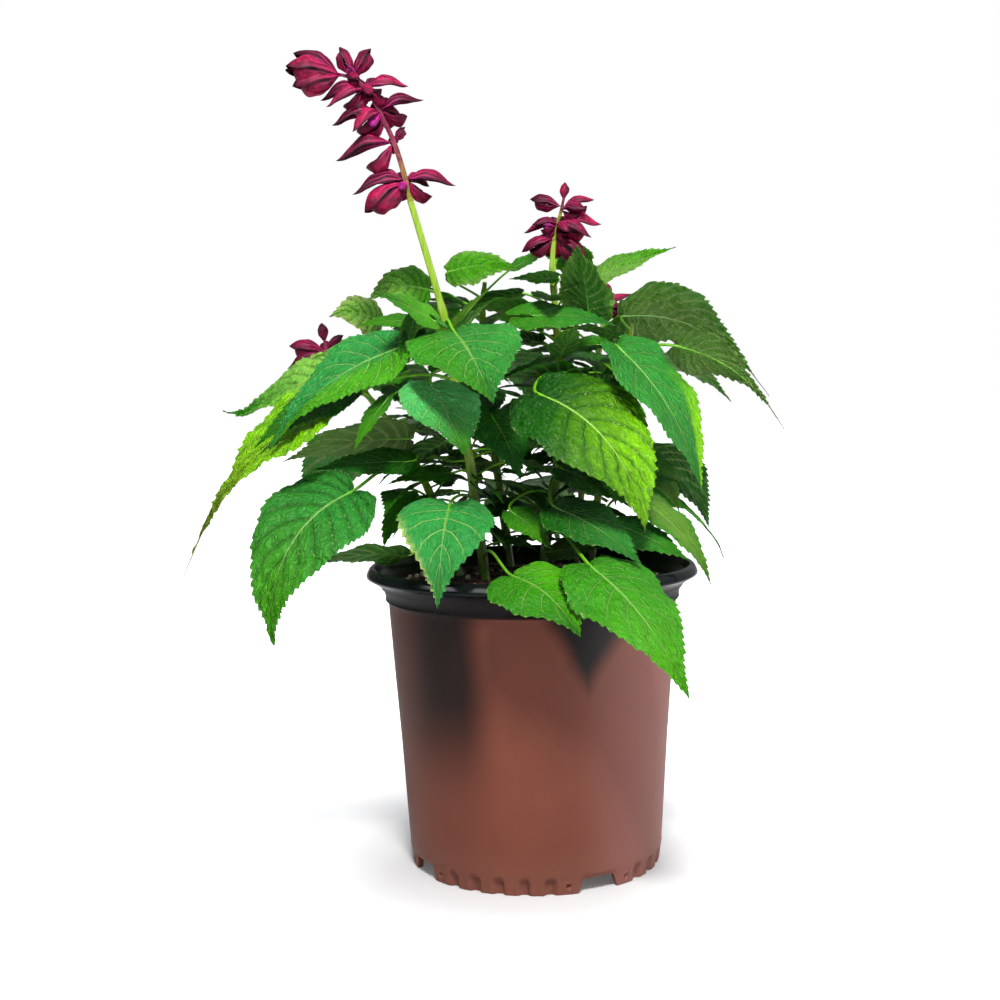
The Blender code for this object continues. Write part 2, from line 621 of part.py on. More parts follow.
def cup(root, heading, pitch, length):
    """A two-lipped flower cup on a thin stalk: a long upper lip over a shorter one."""
    ahead = heading_vector(heading, pitch)
    side = heading_vector(heading + 90, 0)
    up = ahead.cross(side)
    width = length * CUP_WIDTH
    bm = bmesh.new()
    rings = []
    sizes = [(0.0, CUP_STALK, CUP_STALK, CUP_STALK)]
    sizes += [(share, half * width, rise * width, fall * width) for share, half, rise, fall in CUP_RINGS]
    for share, half, rise, fall in sizes:
        centre = root + ahead * length * share * MM
        offsets = (side * half, up * rise, side * -half, up * -fall)
        rings.append([bm.verts.new(centre + offset * MM) for offset in offsets])
    for low, high in zip(rings, rings[1:]):
        for corner in range(4):
            after = (corner + 1) % 4
            bm.faces.new((low[corner], low[after], high[after], high[corner]))
    bm.faces.new(rings[0])
    left, top, right, bottom = rings[-1]
    upper_tip, lower_tip = (bm.verts.new(root + (ahead * length * share + up * width * rise) * MM)
                            for share, rise in (UPPER_LIP, LOWER_LIP))
    for corners_of_face in ((left, top, upper_tip), (top, right, upper_tip), (right, left, upper_tip),
                            (right, bottom, lower_tip), (bottom, left, lower_tip), (left, right, lower_tip)):
        bm.faces.new(corners_of_face)
    bmesh.ops.triangulate(bm, faces=bm.faces)
    return bm


def head_bodies(name):
    _, points, cups = HEADS[name]
    stem_radius = STEMS[HEADS[name][0]][2]
    steps = 2 * (len(points) - 1)
    path = [curve(points, i / steps) * MM for i in range(steps + 1)]
    path[0] += (path[1] - path[0]).normalized() * HEAD_GAP * MM
    radii = [stem_radius * (1 - 0.5 * i / steps) for i in range(steps + 1)]
    bodies = [tube(path, radii, radii, 5, Vector((0, 1, 0)))]
    for share, heading, pitch, length in cups:
        bodies.append(cup(curve(points, share) * MM, heading, pitch, length))
    return bodies


def fuse(bodies, name, material):
    """One closed body from bodies that grow into each other."""
    made = make_object(bodies[0], name, material)
    others = [make_object(body, f"{name}_{i}") for i, body in enumerate(bodies[1:])]
    combine(made, others, "UNION")
    keep_largest(made)
    made.data.set_sharp_from_angle(angle=math.radians(30))


def keep_largest(made):
    """Drops a scrap that the union left loose, and fills a hollow that it sealed."""
    bm = bmesh.new()
    bm.from_mesh(made.data)
    left = set(bm.verts)
    groups = []
    while left:
        stack = [left.pop()]
        group = set(stack)
        while stack:
            for edge in stack.pop().link_edges:
                for vert in edge.verts:
                    if vert in left:
                        left.remove(vert)
                        group.add(vert)
                        stack.append(vert)
        groups.append(group)
    groups.sort(key=len)
    for group in groups[:-1]:
        bmesh.ops.delete(bm, geom=list(group), context="VERTS")
    bm.to_mesh(made.data)
    bm.free()


def build_soil(material):
    """The filling of the pot, with a rough top and a plain hole for each stem."""
    floor = FOOT_RECESS + WALL + GAP
    slack = GAP + 0.5          # the wall's flat faces lie inside its circle
    edge_radius = NECK_RADIUS - 1.6 - slack
    profile = [(0, floor), (CORNER_RADIUS - slack, floor), (inner_wall(CORNER_TOP) - slack, CORNER_TOP),
               (inner_wall(BODY_TOP) - slack, BODY_TOP), (edge_radius, SOIL_EDGE_LEVEL)]
    profile += [(edge_radius * share, SOIL_LEVEL) for share in (0.88, 0.6, 0.3, 0)]
    bm = turned(profile, SOIL_SEGMENTS, 0)
    draw = random.Random(SOIL_SEED)
    for vert in bm.verts:
        if vert.co.z > (SOIL_EDGE_LEVEL + 0.5) * MM:
            vert.co.z += draw.uniform(-SOIL_BUMPS, SOIL_BUMPS) * MM
    soil = make_object(bm, "soil", material)
    cutters = []
    for name, (points, foot_radius, _) in STEMS.items():
        centre = vec(points[0])
        bm = bmesh.new()
        depth = HOLE_DEPTH + GAP
        bmesh.ops.create_cone(bm, cap_ends=True, segments=8, radius1=(foot_radius + HOLE_SLACK) * MM * 1.08,
                              radius2=(foot_radius + HOLE_SLACK) * MM * 1.08, depth=2 * depth * MM)
        bmesh.ops.translate(bm, verts=bm.verts, vec=centre)
        cutters.append(make_object(bm, "hole_" + name))
    combine(soil, cutters, "DIFFERENCE")


def main():
    for thing in list(bpy.data.objects):
        bpy.data.objects.remove(thing, do_unlink=True)
    pot_colour = make_material("brown_plastic", (0.16, 0.06, 0.04), 0.42)
    soil_colour = make_material("bark_soil", (0.03, 0.018, 0.012), 0.95)
    leaf_colour = make_material("leaf_green", (0.07, 0.32, 0.03), 0.5)
    flower_colour = make_material("wine_red", (0.25, 0.01, 0.06), 0.55)
    build_pot(pot_colour)
    build_soil(soil_colour)
    stems = {name: stem_tube(name) for name in STEMS}
    heads = {name: head_bodies(name) for name in HEADS}
    filled_pot = pot_hull()
    leaves = placed_leaves(stems, [filled_pot] + [body for bodies in heads.values() for body in bodies])
    filled_pot.free()
    for name, bm in stems.items():
        bodies = [bm]
        for leaf in leaves:
            if leaf.stem == name:
                rows, columns = leaf_cells(leaf)
                bodies += [blade(leaf, rows, columns, BLADE_THICKNESS), stalk(leaf, 0, STALK_RADIUS)]
        fuse(bodies, "stem_" + name, leaf_colour)
    for name, bodies in heads.items():
        fuse(bodies, "flowers_" + name, flower_colour)


main()
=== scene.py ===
import math
import random
from collections import namedtuple
from itertools import product

import bmesh
import bpy
from mathutils import Matrix, Vector, noise
from mathutils.kdtree import KDTree


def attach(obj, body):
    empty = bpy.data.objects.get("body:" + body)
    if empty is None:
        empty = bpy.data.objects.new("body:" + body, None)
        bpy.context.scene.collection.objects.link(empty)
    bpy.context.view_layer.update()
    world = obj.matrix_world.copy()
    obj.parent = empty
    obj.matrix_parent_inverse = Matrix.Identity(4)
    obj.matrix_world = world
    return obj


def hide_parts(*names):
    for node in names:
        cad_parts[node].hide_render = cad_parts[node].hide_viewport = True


mm = 0.001
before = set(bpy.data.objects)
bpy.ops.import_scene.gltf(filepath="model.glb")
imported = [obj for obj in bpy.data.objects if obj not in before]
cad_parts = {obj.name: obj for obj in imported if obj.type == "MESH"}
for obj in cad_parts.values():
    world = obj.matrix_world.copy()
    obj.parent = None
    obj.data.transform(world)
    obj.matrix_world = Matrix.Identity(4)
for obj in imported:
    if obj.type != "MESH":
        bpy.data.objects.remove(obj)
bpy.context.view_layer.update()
print("frame loaded:", ", ".join(sorted(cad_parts)))


def srgb(red, green, blue):
    # a colour as it looks on a screen, 0 to 255, made linear
    return tuple(((value / 255 + 0.055) / 1.055) ** 2.4 if value > 10 else value / 255 / 12.92
                 for value in (red, green, blue))


def blended(first, second, share):
    return tuple(a + (b - a) * share for a, b in zip(first, second))


def smoothStep(low, high, value):
    t = min(max((value - low) / (high - low), 0.0), 1.0)
    return t * t * (3 - 2 * t)


def vec(triple):
    return Vector(triple) * mm


def curvePoint(points, share):
    # a point of the smooth curve through points, share from 0 to 1
    spans = len(points) - 1
    place = min(max(share, 0.0), 1.0) * spans
    i = min(int(place), spans - 1)
    t = place - i
    a = Vector(points[max(i - 1, 0)])
    b = Vector(points[i])
    c = Vector(points[i + 1])
    d = Vector(points[min(i + 2, spans)])
    bend = (2 * a - 5 * b + 4 * c - d) * t * t + (3 * b - a - 3 * c + d) * t * t * t
    return b + 0.5 * ((c - a) * t + bend)


def curveWay(points, steps):
    # points of that curve, in metres
    return [curvePoint(points, i / steps) * mm for i in range(steps + 1)]


def headingVector(heading, pitch):
    turn = math.radians(heading)
    rise = math.radians(pitch)
    return Vector((math.cos(rise) * math.cos(turn), math.cos(rise) * math.sin(turn), math.sin(rise)))


def nearTree(points):
    tree = KDTree(len(points))
    for i, point in enumerate(points):
        tree.insert(point, i)
    tree.balance()
    return tree


def addObject(name, data):
    thing = bpy.data.objects.new(name, data)
    bpy.context.scene.collection.objects.link(thing)
    return thing


# Camera: where the photograph was taken from

cameraSettings = {
    "place": (0.0, -800.0, 263.0),     # millimetres
    "down": 4.68,                      # degrees
    "turn": -1.19,
    "lean": -1.02,
    "lens": 53.08,
}


def makeCamera():
    yaw = math.radians(cameraSettings["turn"])
    pitch = math.radians(cameraSettings["down"])
    lean = math.radians(cameraSettings["lean"])
    ahead = Vector((math.sin(yaw) * math.cos(pitch), math.cos(yaw) * math.cos(pitch), -math.sin(pitch)))
    right = Vector((math.cos(yaw), -math.sin(yaw), 0))
    up = right.cross(ahead)
    across = right * math.cos(lean) + up * math.sin(lean)
    upright = up * math.cos(lean) - right * math.sin(lean)
    turned = Matrix((across, upright, -ahead)).transposed().to_4x4()
    data = bpy.data.cameras.new("camera")
    data.lens = cameraSettings["lens"]
    data.sensor_width = 36
    data.clip_start = 0.01
    camera = addObject("camera", data)
    camera.matrix_world = Matrix.Translation(vec(cameraSettings["place"])) @ turned
    bpy.context.scene.camera = camera


# Shader helpers: a field is a value that a material's nodes work out; sums and products of fields add nodes

class Field:
    def __init__(self, tree, socket):
        self.tree = tree
        self.socket = socket

    def __add__(self, other):
        return maths("ADD", self, other)

    def __sub__(self, other):
        return maths("SUBTRACT", self, other)

    def __mul__(self, other):
        return maths("MULTIPLY", self, other)

    def __abs__(self):
        return maths("ABSOLUTE", self)


def feed(socket, value):
    # a socket takes a field, a number or a colour
    if isinstance(value, Field):
        value.tree.links.new(value.socket, socket)
    elif isinstance(value, tuple) and len(value) == 3 and socket.type == "RGBA":
        socket.default_value = (*value, 1.0)
    else:
        socket.default_value = value


def addNode(tree, kind, given, values):
    node = tree.nodes.new(kind)
    for name, value in values.items():
        setattr(node, name, value)
    for name, value in given.items():
        feed(node.inputs[name], value)
    return node.outputs


def source(tree, kind, output, **values):
    # what a node gives that is fed by nothing
    return Field(tree, addNode(tree, kind, {}, values)[output])


def worked(kind, output, given, **values):
    # what a node makes of the fields and numbers that feed its sockets
    tree = next(value.tree for value in given.values() if isinstance(value, Field))
    return Field(tree, addNode(tree, kind, given, values)[output])


def maths(operation, first, second=0.0, clamp=False):
    return worked("ShaderNodeMath", 0, {0: first, 1: second}, operation=operation, use_clamp=clamp)


def ramp(value, low, high, start=0.0, end=1.0):
    # smooth change from start to end while value goes from low to high
    given = dict(enumerate((value, low, high, start, end)))
    return worked("ShaderNodeMapRange", 0, given, interpolation_type="SMOOTHSTEP")


def falling(value, low, high):
    # smooth change from 1 to 0
    return ramp(value, low, high, 1.0, 0.0)


def mixed(share, first, second):
    return worked("ShaderNodeMix", 2, {"Factor": share, 6: first, 7: second}, data_type="RGBA")


def split(vector):
    outputs = addNode(vector.tree, "ShaderNodeSeparateXYZ", {0: vector}, {})
    return [Field(vector.tree, output) for output in outputs]


def joined(x, y, z):
    return worked("ShaderNodeCombineXYZ", 0, {0: x, 1: y, 2: z})


def noiseAt(vector, scale, detail=3.0, roughness=0.5):
    given = {"Vector": vector, "Scale": scale, "Detail": detail, "Roughness": roughness}
    return worked("ShaderNodeTexNoise", "Fac", given)


def cellsAt(vector, scale=1.0, feature="DISTANCE_TO_EDGE"):
    return worked("ShaderNodeTexVoronoi", "Distance", {"Vector": vector, "Scale": scale}, feature=feature)


def attribute(tree, name, output):
    return source(tree, "ShaderNodeAttribute", output, attribute_name=name)


def newMaterial(name):
    # a material, its shader and the place on the object
    material = bpy.data.materials.new(name)
    material.use_nodes = True
    tree = material.node_tree
    return material, tree.nodes["Principled BSDF"], source(tree, "ShaderNodeTexCoord", "Object")


def surface(shader, colour, height, strength, depth):
    # gives a shader its colour and a bump of some strength and depth
    feed(shader.inputs["Base Color"], colour)
    given = {"Strength": strength, "Distance": depth, "Height": height}
    feed(shader.inputs["Normal"], worked("ShaderNodeBump", 0, given))


# Mesh helpers

def wrapGrid(bm, columns, rows, place):
    # a grid whose points are moved to place(u, v, vert); its seams are then closed
    verts = bmesh.ops.create_grid(bm, x_segments=columns, y_segments=rows, size=1)["verts"]
    for vert in verts:
        u = (vert.co.x + 1) / 2
        v = (vert.co.y + 1) / 2
        vert.co = place(u, v, vert)
    bmesh.ops.remove_doubles(bm, verts=verts, dist=1e-6)


def wrapped(u):
    # where u is once round a thin blade: whether on its front, and how far across, -1 to 1
    turn = u * 2
    front = turn <= 1
    return front, turn * 2 - 1 if front else 3 - turn * 2


def paintedShape(name):
    # an empty shape with the two layers that its material reads
    bm = bmesh.new()
    layers = bm.verts.layers
    return bm, (layers.float_vector.new(name + "Place"), layers.float_color.new(name + "Tint"))


def spunShape(profile, segments):
    # a body of revolution; profile gives radius and height
    bm = bmesh.new()
    verts = [bm.verts.new(vec((radius, 0, height))) for radius, height in profile]
    edges = [bm.edges.new(pair) for pair in zip(verts, verts[1:])]
    bmesh.ops.spin(bm, geom=verts + edges, cent=(0, 0, 0), axis=(0, 0, 1), angle=math.tau,
                   steps=segments, use_merge=True)
    bmesh.ops.remove_doubles(bm, verts=bm.verts, dist=1e-6)
    return bm


def finishPiece(bm, name, material, replaced, sharp):
    bmesh.ops.recalc_face_normals(bm, faces=bm.faces)
    mesh = bpy.data.meshes.new(name)
    bm.to_mesh(mesh)
    bm.free()
    mesh.materials.append(material)
    mesh.shade_smooth()
    mesh.set_sharp_from_angle(angle=math.radians(sharp))
    piece = addObject(name, mesh)
    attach(piece, "root")
    if replaced:
        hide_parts(*replaced)
    print(f"{name}: {sum(len(face.vertices) - 2 for face in mesh.polygons)} triangles")


def tubeGrid(bm, path, radii, sides, section, paint, up=Vector((0, 1, 0))):
    # a closed tube along path; section(angle) gives the shape of its cut, about 1
    side = up.cross(path[1] - path[0]).normalized()
    frames = []
    for i, point in enumerate(path):
        ahead = (path[min(i + 1, len(path) - 1)] - path[max(i - 1, 0)]).normalized()
        side = (side - ahead * side.dot(ahead)).normalized()
        frames.append((point, side.copy(), ahead.cross(side)))
    last = len(path) + 1

    def place(u, v, vert):
        row = round(v * last)
        i = min(max(row - 1, 0), len(path) - 1)
        point, across, rise = frames[i]
        angle = math.tau * u
        reach = radii[i] * section(angle) * mm if 0 < row < last else 0.0
        paint(vert, u, i / (len(path) - 1))
        return point + (across * math.cos(angle) + rise * math.sin(angle)) * reach

    wrapGrid(bm, sides, last, place)


def roundSection(angle):
    return 1.0


def squareSection(angle):
    # a square stem with round corners and a slight groove down each side
    corner = (abs(math.cos(angle)) ** 5 + abs(math.sin(angle)) ** 5) ** -0.2
    return corner * 0.96 - 0.07 * math.cos(2 * angle) ** 8


# Plant: the ways of the stems with their radii at foot and top, and the places of the leaves, in millimetres

stemWays = {
    "front": (((-25, -5, 156), (-29, -8, 188), (-32, -12, 219), (-38, -18, 252), (-42, -22, 287),
               (-46, -22, 305), (-53, -22, 331), (-60, -22, 356)), 2.5, 1.7),
    "middle": (((6, 18, 156), (13, 22, 199), (19, 22, 222), (18, 18, 251), (16, 13, 290),
                (14, 10, 322), (15, 10, 337)), 2.4, 1.4),
    "left": (((-40, 14, 156), (-52, 22, 190), (-70, 32, 226), (-92, 42, 255), (-112, 52, 274)), 2.2, 1.4),
    "right": (((32, 6, 156), (36, 8, 190), (43, 12, 230), (52, 13, 262), (57, 14, 292)), 2.2, 1.2),
    "back_right": (((26, 46, 156), (30, 54, 200), (37, 62, 250), (44, 68, 296)), 2.2, 1.3),
    "back": (((-12, 48, 156), (-18, 56, 200), (-24, 58, 250), (-26, 52, 292), (-24, 44, 318)), 2.3, 1.3),
}

# Flower heads: the stem each one ends, the way of its axis, and its cups: how far up the axis each one sits,
# heading and pitch in degrees, length in millimetres, how closed it still is, and its tone: -1 for dark,
# 1 or 2 for lighter, 3 for a magenta corolla
flowerHeads = {
    "tall": ("front", ((-60, -22, 356), (-61, -22, 362), (-67, -22, 384), (-73, -22, 398), (-79, -22, 410),
                       (-87, -22, 419), (-96, -22, 422)), (
        (0.215, 0, -9, 26.5), (0.215, 184, -16, 29), (0.21, 200, -40, 28, 1.0, 1),
        (0.215, 160, -4, 23, 0.3), (0.21, 250, -40, 9, 1.0, 3), (0.55, 238, -44, 13, 1.0, 3),
        (0.83, 215, 50, 9, 1.0, 3), (0.215, 55, -6, 20), (0.22, 110, -14, 22), (0.36, 184, -18, 32),
        (0.36, 8, 50, 10, 1.0, -1), (0.36, 100, 2, 13), (0.565, 4, 12, 24, 0, -1),
        (0.56, 186, -17, 26, 0, -1), (0.56, 228, -34, 23, 0, 1), (0.57, 100, 4, 20), (0.56, 50, -8, 18),
        (0.74, -4, 0, 23), (0.745, 182, -16, 24, 0, -1), (0.73, 204, -26, 24, 0, 1),
        (0.74, -72, -24, 14, 0.2), (0.74, 112, 2, 19), (0.75, 60, 12, 17, 0.5), (0.87, 180, 66, 17, 1.0),
        (0.86, 4, 54, 18, 1.0), (0.87, -72, -14, 12, 0.5), (0.87, 90, 16, 15, 0.7),
        (0.96, 186, 21, 27, 1.0, -1), (0.96, 190, 1, 29, 1.0, 2), (0.96, 172, -13, 27, 1.0, 1),
        (0.96, 198, -19, 26, 1.0, 2), (0.965, 200, 3, 29, 1.0, 1))),
    "middle": ("middle", ((15, 10, 337), (16, 10, 343), (19, 10, 353), (21, 10, 362)), (
        (0.86, 30, 80, 10, 1.0, 1), (0.76, 180, 10, 18, 1.0), (0.36, 216, 10, 10, 1.0, 3),
        (0.74, -5, 9, 18, 0.6), (0.70, -38, -6, 17, 0.4), (0.46, 202, -4, 15, 0.3), (0.45, 175, -14, 19),
        (0.46, -5, -4, 24, 0.2), (0.44, -32, -22, 23), (0.46, -64, -26, 14, 0.5), (0.46, 60, -8, 20),
        (0.46, 110, -5, 20), (0.18, 186, -27, 20, 0.75, 1), (0.18, -10, -38, 21, 0.75), (0.18, 60, -24, 20),
        (0.18, 128, -20, 20))),
    "left": ("left", ((-112, 52, 274), (-115, 54, 278), (-117, 55, 283), (-118, 56, 289)), (
        (0.52, 186, 6, 22, 1.0, 1), (0.42, 190, -20, 25, 0.2), (0.40, 214, -36, 22),
        (0.80, 140, 76, 12, 1.0, -1), (0.60, 4, 36, 13, 1.0, -1), (0.55, 100, 8, 17, 0.4),
        (0.50, 160, -8, 19, 0.3))),
    "right": ("back_right", ((44, 68, 296), (45, 68, 300), (47, 68, 308)), (
        (0.70, -5, 26, 17, 0.4), (0.55, -30, 10, 15, 0.4), (0.60, 60, 20, 16, 0.4),
        (0.90, 150, 42, 14, 0.7), (0.98, 90, 64, 11, 1.0))),
}

plantSettings = {
    "holeDepth": 24.0,        # how far a stem goes into the soil
    "ribStations": 16,
    "ribLag": 1.55,           # how far the side veins sweep forward from the midrib
    "ribSweep": 1.4,
    "arch": 0.16,
    "ripple": 0.035,
    "rippleTurn": 15.0,
    "tailStart": 0.7,
    "lobe": 0.1,              # the share of a margin that runs round the lobe at its foot
    "edge": ((-0.07, 0.46), (0.05, 0.86), (0.24, 1.0), (0.46, 0.84), (0.68, 0.48), (0.86, 0.16), (1.0, 0.0)),
}

# Colours of leaf tissue, some with painted light: bluish carries a painted bluish sheen, and clear and light
# are lightened for leaves that lie in shade
tints = {
    # bluish: a green with a painted bluish sheen
    "bluish": srgb(42, 134, 46),
    "mid": srgb(48, 134, 12),
    "bright": srgb(74, 164, 2),
    "lime": srgb(136, 212, 0),
    "pale": srgb(116, 168, 66),
    # light: a paler green, lightened further as painted light for crown leaves that lie in shade
    "light": srgb(146, 214, 84),
    "under": srgb(90, 122, 58),
    "deep": srgb(12, 92, 8),
    "olive": srgb(96, 146, 40),
    "shade": srgb(8, 76, 4),
    # clear: a green lightened as painted light for a leaf that lies in shade
    "clear": srgb(88, 200, 106),
    "fresh": srgb(42, 148, 64),
    "cream": srgb(190, 205, 120),
    "bronze": srgb(112, 128, 24),
}

# A leaf: the height of its joint on the stem, the foot of its blade, heading and pitch there, length and
# width, droop, roll and fold, its look, how much it tapers, the length of the thread at its tip, and how far
# the tip bends down; millimetres and degrees
Leaf = namedtuple("Leaf", "stem joint foot heading pitch length width droop roll fold look taper thread tail",
                  defaults=(0, 0, 0))
# How a leaf is coloured: its main tint, a second tint and where that lies, veins from -1 (dark) to 1 (pale),
# how strongly it is quilted, and its pairs of side veins
Look = namedtuple("Look", "main second where veins quilt pairs", defaults=(8,))

placedLeaves = {
    "front": (
        (292, (-37, -50, 287), -70, -20, 70, 58, 24, 10, 10, ("bluish", "mid", "right", 0.6, 0.8, 9)),
        (266, (-49, -55, 261), -58, -42, 50, 44, 8, 2, 8, ("clear", "mid", "tip", 0.7, 0.4)),
        (196, (-41, -60, 200), -97, -30, 62, 50, 44, -6, 10, ("fresh", "cream", "rim", 0.9, 0.7), 0.28),
        (166, (-9, -86, 167), -48, -6, 54, 46, 46, 16, 8, ("mid", "bright", "left", 0.5, 0.6), -0.3),
        (286, (-69, -38, 279), -172, -28, 84, 50, 42, -36, 10,
         ("fresh", "bright", "left", 0.8, 1.3, 10), 0.35),
        (262, (-92, -30, 259), -168, -34, 60, 30, 34, -35, 10, ("deep", "mid", "tip", 0.2, 0.5)),
        (256, (-72, -50, 254), -142, -42, 34, 14, 22, -10, 16, ("bright", "mid", "foot", 0.4, 0.3)),
        (298, (-60, -10, 294), -172, 10, 32, 16, 30, -30, 10, ("mid", "bright", "tip", 0.4, 0.4)),
        (290, (-57, -35, 290), -140, -56, 30, 14, 18, 0, 20, ("mid", "bright", "edge", 0.4, 0.3)),
        (290, (-47, -44, 293), 208, 30, 36, 24, 16, -40, 10, ("mid", "bright", "foot", 0.5, 0.4)),
        (290, (-38, -34, 289), 6, 48, 27, 12, 10, -28, 18, ("bright", "mid", "foot", 0.4, 0.4)),
        (236, (-20, -20, 244), -44, -46, 40, 30, 26, 16, 8, ("deep", "bluish", "tip", 0.3, 0.4)),
        (214, (-44, -6, 213), -172, 4, 34, 19, 28, -26, 8, ("mid", "bright", "tip", 0.4, 0.4)),
    ),
    "middle": (
        (262, (5, -45, 255), -28, -18, 96, 74, 68, 26, 8, ("lime", "shade", "foot", -1.0, 1.5, 11)),
        (172, (29, -84, 171), -44, -27, 84, 60, 36, 6, 6, ("mid", "bright", "tip", 0.3, 0.8, 9)),
        (286, (33, -8, 295), -104, 68, 48, 36, 40, -26, 6, ("mid", "pale", "edge", 1.0, 2.1, 12)),
        (312, (16, 2, 317), -178, 2, 26, 15, 6, 24, 10, ("bright", "mid", "tip", 0.3, 0.4)),
        (204, (13, -50, 197), -34, -16, 58, 38, 26, 20, 8, ("bluish", "deep", "foot", 0.2, 0.4)),
        (196, (-10, -44, 195), -38, -24, 32, 20, 26, 20, 8, ("mid", "bright", "tip", 0.5, 0.4)),
        (282, (-7, -22, 295), 4, 8, 56, 30, 30, 30, 8, ("mid", "bluish", "tip", 0.5, 0.4)),
        (280, (17, -14, 275), -63, 44, 26, 16, 14, -6, 12, ("bright", "mid", "foot", 0.4, 0.4)),
        (168, (10, -22, 171), -14, 14, 34, 20, 16, 30, 8, ("under", "mid", "tip", 0.3, 0.4)),
        (224, (16, -26, 216), -14, -20, 44, 26, 20, 26, 8, ("deep", "mid", "tip", 0.3, 0.4)),
    ),
    "left": (
        (214, (-93, -40, 206), -148, -20, 96, 64, 84, -26, 8, ("bluish", "bright", "tip", -0.8, 1.5, 10)),
        (250, (-108, -20, 251), -163, -28, 106, 62, 40, -20, 12,
         ("lime", "bronze", "tip", -0.6, 1.4, 10), 0.75, 12),
        (262, (-102, 20, 276), -186, -25, 78, 44, 8, -28, 14,
         ("light", "mid", "tip", -0.6, 2.5, 11), 0, 0, -60),
        (232, (-66, -6, 228), -171, 2, 68, 36, 24, 40, 8, ("under", "pale", "tip", -0.3, 0.7)),
        (222, (-64, -14, 224), -178, -18, 52, 28, 12, -28, 10, ("deep", "bluish", "tip", 0.3, 0.5)),
        (270, (-85, 46, 298), 214, 24, 32, 28, 44, -60, 4, ("light", "cream", "edge", -0.9, 3.4)),
        (176, (-67, -26, 171), -174, 4, 50, 26, 30, 30, 8, ("mid", "deep", "tip", 0.3, 0.4)),
        (258, (-67, 6, 268), -174, -10, 28, 18, 25, -30, 8, ("mid", "bluish", "tip", 0.4, 0.4)),
    ),
    "right": (
        (268, (48, -20, 278), -24, -42, 90, 60, 38, 12, 14, ("bluish", "lime", "leftEdge", 0.2, 0.7)),
        (288, (51, 6, 288), 14, 0, 104, 58, 54, -36, 8, ("olive", "mid", "edge", 0.5, 1.7, 13), 0.5, 15),
        (274, (80, -4, 279), -4, -14, 64, 34, 46, -48, 8, ("pale", "under", "edge", 0.9, 1.5, 13), 0.62, 11),
        (218, (57, -28, 199), -24, -28, 60, 30, 44, 12, 12, ("olive", "mid", "edge", 0.2, 0.6)),
        (226, (63, 24, 220), -36, -40, 40, 28, 30, 12, 10, ("deep", "olive", "tip", 0.1, 0.6)),
        (190, (45, -40, 187), -20, -14, 42, 24, 14, 30, 8, ("bluish", "mid", "tip", 0.3, 0.4)),
    ),
    "back_right": (
        (286, (33, 20, 316), -10, 22, 52, 30, 6, 30, 12, ("bright", "pale", "foot", 0.4, 0.5)),
    ),
    "back": (
        (308, (-43, 26, 323), -8, 16, 40, 28, 34, 48, 4, ("bright", "pale", "edge", -0.5, 2.2)),
        (312, (-8, 36, 325), 11, 30, 28, 14, 8, 26, 10, ("mid", "bright", "tip", 0.4, 0.4)),
        (300, (-55, 20, 313), 200, 18, 36, 28, 60, -60, 4, ("light", "bright", "foot", -0.7, 2.9)),
    ),
}

# Small leaves of the crown that lie between the others
crownLeaves = {
    "front": (
        (290, (-42, -31, 291), 203, 34, 31, 23, 16, -14, 8, ("bluish", "mid", "tip", 0.4, 0.7)),
        (290, (-38, -36, 290), 12, 50, 27, 12, 8, -28, 18, ("lime", "bright", "edge", 0.4, 0.6)),
        (288, (-57, -34, 289), 244, -46, 28, 13, 10, -30, 18, ("deep", "mid", "tip", 0.2, 0.6)),
    ),
    "middle": (
        (292, (0, 0, 301), 176, 10, 32, 22, 20, 26, 6, ("bright", "pale", "edge", 0.4, 0.8)),
        (300, (21, 2, 308), -60, 20, 26, 18, 20, 12, 6, ("under", "pale", "edge", 0.7, 1.2)),
        (290, (8, -14, 290), 196, 20, 30, 19, 22, 20, 8, ("mid", "bright", "tip", 0.4, 0.8)),
    ),
    "left": (
        (262, (-86, 20, 279), 182, 8, 34, 20, 26, -30, 8, ("pale", "under", "edge", 0.5, 1.2)),
    ),
    "right": (
        (280, (48, -6, 285), 170, 20, 30, 19, 22, 16, 8, ("mid", "pale", "tip", 0.4, 0.9)),
    ),
    "back": (
        (300, (-36, 24, 306), 150, 24, 32, 22, 20, 16, 8, ("bright", "mid", "tip", 0.4, 0.8)),
    ),
}

fillSettings = {
    "rows": (
        ("front", (222, 300), 20),
        ("middle", (236, 300, 322), 70),
        ("left", (190, 226, 258), 60),
        ("right", (200, 244), 50),
        ("back_right", (185, 225, 268), 20),
        ("back", (185, 225, 262, 296), 60),
    ),
    "seed": 5,
    "front": -0.1,            # leaves that head further towards the camera are left out
    "turn": (-14, 14),
    "reach": (26, 44),
    "rise": (10, 34),
    "length": (72, 92),
    "pitch": (-22, -2),
    "slim": (0.56, 0.68),
    "droop": (34, 54),
    "roll": (-14, 14),
    "fold": (6, 16),
    "tail": (0, 20),
    "taper": 0.1,
    "smaller": (230, 90, 0.5),   # leaves shrink above this height, in this range, by this share
    "looks": (
        Look("mid", "bright", "tip", 0.4, 0.7), Look("bluish", "mid", "edge", 0.6, 0.5),
        Look("bright", "mid", "foot", 0.3, 0.8), Look("deep", "bluish", "tip", 0.3, 0.6),
        Look("mid", "lime", "edge", -0.3, 0.9)),
}


def tableLeaves(table):
    # the leaves of a table that has rows of values for each stem
    return [Leaf(stem, *values[:9], Look(*values[9]), *values[10:])
            for stem, rows in table.items() for values in rows]


def drawn(draw, settings, names):
    return [draw.uniform(*settings[name]) for name in names.split()]


def stemPoint(name, height):
    # the point of a stem's axis at a height, and its share of the way
    points = stemWays[name][0]
    low, high = 0.0, 1.0
    for _ in range(20):
        middle = (low + high) / 2
        if curvePoint(points, middle).z < height:
            low = middle
        else:
            high = middle
    return curvePoint(points, low) * mm, low


